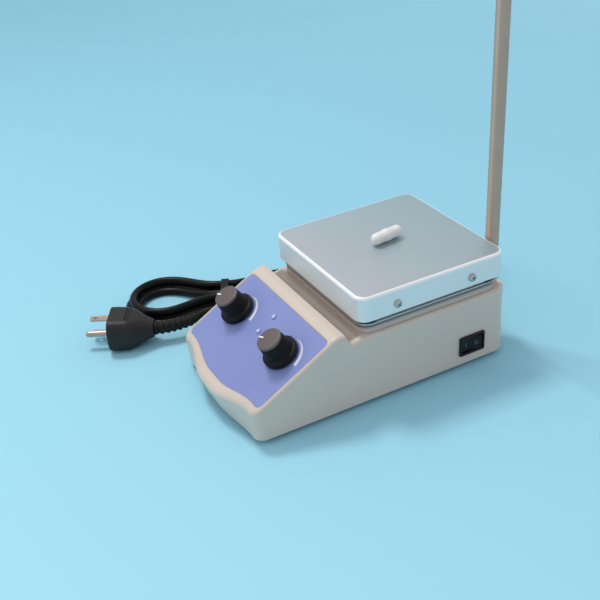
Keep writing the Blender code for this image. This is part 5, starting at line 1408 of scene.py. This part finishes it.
# %% [markdown]
# The stir bar is a magnet in a smooth white coat, with round ends and a low ring at its middle on which it
# spins. Half of its section is drawn and then mirrored.

# %% Stir bar
BAR_LENGTH = 0.0270
BAR_RADIUS = 0.0042
BAR_RING = 0.0046
BAR_HEADING = math.radians(99)
BAR_RING_SECTION = [(BAR_RADIUS, -0.0026), (BAR_RADIUS + 0.00012, -0.0023), (BAR_RING - 0.00006, -0.0019),
                    (BAR_RING, -0.0015)]
COAT_DEPTH = (0.001, 0.001, 0.001)

bar_section = [(BAR_RADIUS * math.sin(angle), -BAR_LENGTH / 2 + BAR_RADIUS * (1 - math.cos(angle)))
               for angle in quarter(14)]
bar_section += BAR_RING_SECTION
bar_section += [(radius, -z) for radius, z in reversed(bar_section)]
bar_place = (BENCH @ Matrix.Translation((0, 0, PLATE_TOP + SEAT_GAP + BAR_RING))
             @ Matrix.Rotation(BAR_HEADING, 4, "Z") @ Matrix.Rotation(math.pi / 2, 4, "Y"))
stir_bar = piece("coated_stir_bar", turned(bar_section, 64), "loose_stir_bar", bar_place)
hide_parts("stir_bar")

coat = Finish("white fluoropolymer coat", rgb(238, 238, 234), 0.36, Subsurface_Weight=0.15,
              Subsurface_Radius=COAT_DEPTH)
coat.mottle(coat.noise(160.0, 2.0), rgb(232, 232, 227), rgb(244, 244, 241), 0.3, 0.15)
dress(coat, stir_bar)
print("stir bar, mm:", round(BAR_LENGTH * 1000, 1))

# %% [markdown]
# The gland holds the cord in the rear wall and lets it bend. It is ribbed, so that it bends in a curve
# instead of kinking: a flange on each side of the wall, then rings that get thinner towards the cord.

# %% Gland
GLAND_RIBS = 9
GLAND_RADIUS = 0.0060
GLAND_TAPER = 0.0016
FLANGE_RADIUS = 0.0080
FLANGE_THICKNESS = 0.0020
FLANGE_SECTION = ((0.0078, 0), (FLANGE_RADIUS, 0.0003), (FLANGE_RADIUS, 0.0015), (0.0075, FLANGE_THICKNESS))
GLAND_RIB = ((0.0002, 0), (0, 0.12), (0, 0.5), (0.0002, 0.6), (0.0008, 0.66), (0.0008, 0.97))

gland_outer = rear_at(GLAND_Z - FLANGE_RADIUS) + SEAT_GAP
gland_inner = REAR_REACH - WALL - SEAT_GAP
gland_end = REAR_REACH + SEAT_GAP + GLAND_LENGTH
gland_section = [(0, gland_inner - FLANGE_THICKNESS), (FLANGE_RADIUS, gland_inner - FLANGE_THICKNESS),
                 (FLANGE_RADIUS, gland_inner), (GLAND_RADIUS, gland_inner), (GLAND_RADIUS, gland_outer)]
gland_section += [(radius, gland_outer + outward) for radius, outward in FLANGE_SECTION]
rib = (gland_end - gland_outer - FLANGE_THICKNESS) / GLAND_RIBS
for index in range(GLAND_RIBS):
    radius = GLAND_RADIUS - GLAND_TAPER * index / GLAND_RIBS
    low = gland_outer + FLANGE_THICKNESS + index * rib
    gland_section += [(radius - drop, low + rib * share) for drop, share in GLAND_RIB]
gland_section.append((0, gland_end))
gland_form = turned_over(turned(gland_section, 48), -math.pi / 2, "X")
gland = piece("ribbed_gland", gland_form, "base", BENCH @ Matrix.Translation((GLAND_X, 0, GLAND_Z)))
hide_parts("cord_gland")
print("gland's rib, mm:", round(rib * 1000, 2))

# %% [markdown]
# The plug's relief is ribbed in the same way, but it is bent. It is the cord's kind of tube along its bent
# line, with a radius that drops between its ribs.

# %% Relief
RELIEF_RIBS = 8
RELIEF_RADIUS = 0.0054
RELIEF_TAPER = 0.0012
RELIEF_BEVEL_STEPS = 8
RELIEF_RIB = ((0.0002, 0.0), (0.0, 0.08), (0.0, 0.42), (0.0002, 0.5), (0.0009, 0.56), (0.0009, 0.9),
              (0.0005, 0.97))

relief_route = []
relief_radii = []
for index in range(RELIEF_RIBS):
    share = index / RELIEF_RIBS
    for drop, along in RELIEF_RIB:
        relief_route.append(relief_spot(share + along / RELIEF_RIBS))
        relief_radii.append(RELIEF_RADIUS - RELIEF_TAPER * share - drop)
relief_route.append(relief_spot(1.0))
relief_radii.append(RELIEF_RADIUS - RELIEF_TAPER)
relief = tube("ribbed_relief", relief_route, relief_radii, RELIEF_BEVEL_STEPS)
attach(relief, "base")
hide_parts("plug_relief")
print("points on the relief:", len(relief_route))

# %% [markdown]
# The plug's body narrows from its face to its relief. Rings of one rounded outline, each with its own share
# of the full size, give that shape. Grooves for the fingers, two slots and a hole are then cut into it.

# %% Plug
PLUG_WIDTH = 0.0345
PLUG_HEIGHT = 0.0262
PLUG_CORNER = 0.0085
PLUG_CORNER_LIMIT = 2.2
PLUG_RAISE = 0.0012
PLUG_SHARES = ((0.0, 0.93, 0.92), (0.006, 0.965, 0.96), (0.02, 0.99, 0.99), (0.045, 1.0, 1.0),
               (0.2, 1.0, 1.0), (0.42, 0.98, 0.98), (0.50, 0.94, 0.95), (0.58, 0.87, 0.90),
               (0.66, 0.79, 0.83), (0.76, 0.67, 0.72), (0.86, 0.54, 0.60), (0.95, 0.45, 0.52),
               (1.0, 0.41, 0.48))
GROOVES = 5
GROOVE_LENGTH = 0.0180
GROOVE_HEIGHT = 0.0011
GROOVE_CORNER = 0.0005
GROOVE_OUT = 0.0001
GROOVE_START = 0.0130
GROOVE_WIDTH = 0.0010
GROOVE_PITCH = 0.0019
BLADE_X = -0.0075
BLADE_Y = 0.00635
PIN_X = 0.0044
SLOT_WIDTH = 0.0069
SLOT_HEIGHT = 0.0021
SLOT_CORNER = 0.0003
PIN_HOLE = 0.0027
SOCKET_DEPTH = 0.0043

plug_axes = Matrix((plug_aside, Vector((0, 0, 1)), plug_out)).transposed().to_4x4()
PLUG = BENCH @ Matrix.Translation(PLUG_FACE) @ plug_axes
rings = []
for along, wide, high in PLUG_SHARES:
    width = PLUG_WIDTH * wide
    height = PLUG_HEIGHT * high
    corner = min(PLUG_CORNER, width / PLUG_CORNER_LIMIT, height / PLUG_CORNER_LIMIT)
    outline = rounded_rectangle(width, height, corner, (0, PLUG_RAISE * (1 - along)), 12)
    rings.append(level(outline, -PLUG_LENGTH * along))
plug_body = piece("moulded_plug", skin(rings[::-1]), "base", PLUG)
for side in (-1, 1):
    for index in range(GROOVES):
        outline = rounded_rectangle(GROOVE_LENGTH, GROOVE_HEIGHT, GROOVE_CORNER,
                                    (0, side * (PLUG_HEIGHT / 2 + GROOVE_OUT)), steps=4)
        start = -GROOVE_START - index * GROOVE_PITCH
        carve(plug_body, prism(outline, start - GROOVE_WIDTH, start))
for side in (1, -1):
    outline = rounded_rectangle(SLOT_WIDTH, SLOT_HEIGHT, SLOT_CORNER, (BLADE_X, side * BLADE_Y), steps=3)
    carve(plug_body, prism(outline, -SOCKET_DEPTH, CUT_OVERRUN))
carve(plug_body, prism(circle(PIN_HOLE, (PIN_X, 0)), -SOCKET_DEPTH, CUT_OVERRUN))
even_shading(plug_body)
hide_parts("plug_body")
print("plug faces:", len(plug_body.data.polygons))

# %% [markdown]
# Two flat blades with a hole near the tip and a round earth pin: the blades are flat outlines given a
# thickness, with a fine bevel so that their edges catch the light, and the pin is turned.

# %% Blades and earth pin
BLADE_LENGTH = 0.0165
BLADE_HALF_WIDTH = 0.00315
BLADE_CORNER = 0.0016
BLADE_HALF_THICKNESS = 0.00075
BLADE_HOLE = 0.0015
BLADE_HOLE_FROM_TIP = 0.0045
BLADE_SOFT_EDGE = 0.00012
PRONG_ROOT = 0.0040
PIN_RADIUS = 0.0024
PIN_LENGTH = 0.0190
PIN_BLUNTNESS = 0.7

tip = BLADE_LENGTH - BLADE_CORNER
inside = BLADE_HALF_WIDTH - BLADE_CORNER
blade_outline = ([(-BLADE_HALF_WIDTH, -PRONG_ROOT), (BLADE_HALF_WIDTH, -PRONG_ROOT), (BLADE_HALF_WIDTH, tip)]
                 + arc((inside, tip), BLADE_CORNER, 0, math.pi / 2, 5)[1:]
                 + arc((-inside, tip), BLADE_CORNER, math.pi / 2, math.pi, 5))
prongs = []
for name, side in (("live", 1), ("neutral", -1)):
    form = turned_over(prism(blade_outline, -BLADE_HALF_THICKNESS, BLADE_HALF_THICKNESS), math.pi / 2, "X")
    blade = piece(f"{name}_blade", form, "base", PLUG @ Matrix.Translation((BLADE_X, side * BLADE_Y, 0)))
    hole = prism(circle(BLADE_HOLE, (0, BLADE_LENGTH - BLADE_HOLE_FROM_TIP), 24), -CUT_OVERRUN, CUT_OVERRUN)
    carve(blade, turned_over(hole, math.pi / 2, "X"))
    soft_edge = blade.modifiers.new("soft edge", "BEVEL")
    soft_edge.width = BLADE_SOFT_EDGE
    soft_edge.segments = 2
    soft_edge.limit_method = "ANGLE"
    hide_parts(f"plug_blade_{name}")
    prongs.append(blade)
pin_section = [(0, -PRONG_ROOT), (PIN_RADIUS, -PRONG_ROOT)]
pin_section += [(PIN_RADIUS * math.cos(angle) ** PIN_BLUNTNESS,
                 PIN_LENGTH - PIN_RADIUS + PIN_RADIUS * math.sin(angle)) for angle in quarter(8)[:-1]]
pin_section.append((0, PIN_LENGTH))
pin = piece("earth_pin", turned(pin_section, 40), "base", PLUG @ Matrix.Translation((PIN_X, 0, 0)))
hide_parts("plug_earth_pin")
prongs.append(pin)
print("prongs:", len(prongs))

# %% [markdown]
# The cord's sheath is extruded and slightly glossy. The gland, the relief, the tie and the feet are a
# softer, duller rubber, and the plug lies between the two. Each is a dark tone with soft patches of gloss,
# which is how black plastics differ to the eye.

# %% Sheath, rubber, plug compound and prongs
sheath = Finish("black cord sheath", rgb(10, 10, 10), 0.34, Specular_IOR_Level=0.18)
sheath.mottle(sheath.noise(260.0, 3.0), rgb(6, 7, 7), rgb(14, 14, 14), 0.24, 0.2)
sheath.bumps(sheath.noise(500.0, 2.0), 0.00004, 0.3)
dress(sheath, cord)

rubber = Finish("black rubber", rgb(18, 18, 19), 0.6, Specular_IOR_Level=0.25)
rubber.mottle(rubber.noise(180.0, 4.0), rgb(13, 13, 14), rgb(26, 26, 27), 0.5, 0.25)
rubber.bumps(rubber.noise(1100.0, 2.0), 0.00006, 0.4)
dress(rubber, gland, relief, "cord_tie", "foot_front_left", "foot_front_right", "foot_rear_left",
      "foot_rear_right")

moulding = Finish("moulded plug compound", rgb(39, 38, 38), 0.44, Specular_IOR_Level=0.25)
moulding.mottle(moulding.noise(300.0, 3.0), rgb(31, 30, 30), rgb(48, 46, 46), 0.32, 0.22)
moulding.bumps(moulding.noise(1300.0, 2.0), 0.00006, 0.4)
dress(moulding, plug_body)

plated = Finish("nickel plated brass", rgb(190, 172, 160), 0.34, 0.9)
plated.mottle(plated.grain(500.0, 500.0, 60.0, 3.0), rgb(176, 154, 140), rgb(202, 190, 180), 0.28, 0.2)
dress(plated, *prongs)

# %% [markdown]
# What lies inside is seldom seen, but it still has its own stuff: a green board, mica, dark felt and dark
# magnets.

# %% Inner finishes
BOARD_BRICKS = 260.0

board = Finish("green circuit board", rgb(34, 98, 62), 0.45)
board_place = board.stretched(BOARD_BRICKS, BOARD_BRICKS, BOARD_BRICKS)
board_tracks = board.node("ShaderNodeTexBrick", (), {"Vector": board_place, "Color1": (0.02, 0.13, 0.06, 1),
                                                     "Color2": (0.03, 0.17, 0.08, 1),
                                                     "Mortar": (0.10, 0.30, 0.14, 1), "Scale": 1.0})
board.set("Base Color", board_tracks)
dress(board, "control_board")

mica = Finish("mica sheet", rgb(176, 158, 128), 0.5)
mica.mottle(mica.noise(240.0, 4.0), rgb(160, 140, 108), rgb(196, 180, 150))
dress(mica, "heater_element")

fibre = Finish("dark fibre felt", rgb(44, 43, 42), 0.95)
fibre.mottle(fibre.noise(90.0, 3.0), rgb(34, 33, 32), rgb(58, 56, 54))
fibre.bumps(fibre.grain(300.0, 1200.0, 900.0, 4.0), 0.0002, 0.6)
dress(fibre, "insulation_pad")

magnet = Finish("sintered magnet", rgb(70, 70, 74), 0.48, 0.4)
magnet.mottle(magnet.noise(700.0, 3.0), rgb(58, 58, 62), rgb(84, 84, 88))
dress(magnet, "magnet_north", "magnet_south")
print("finishes:", len(bpy.data.materials))
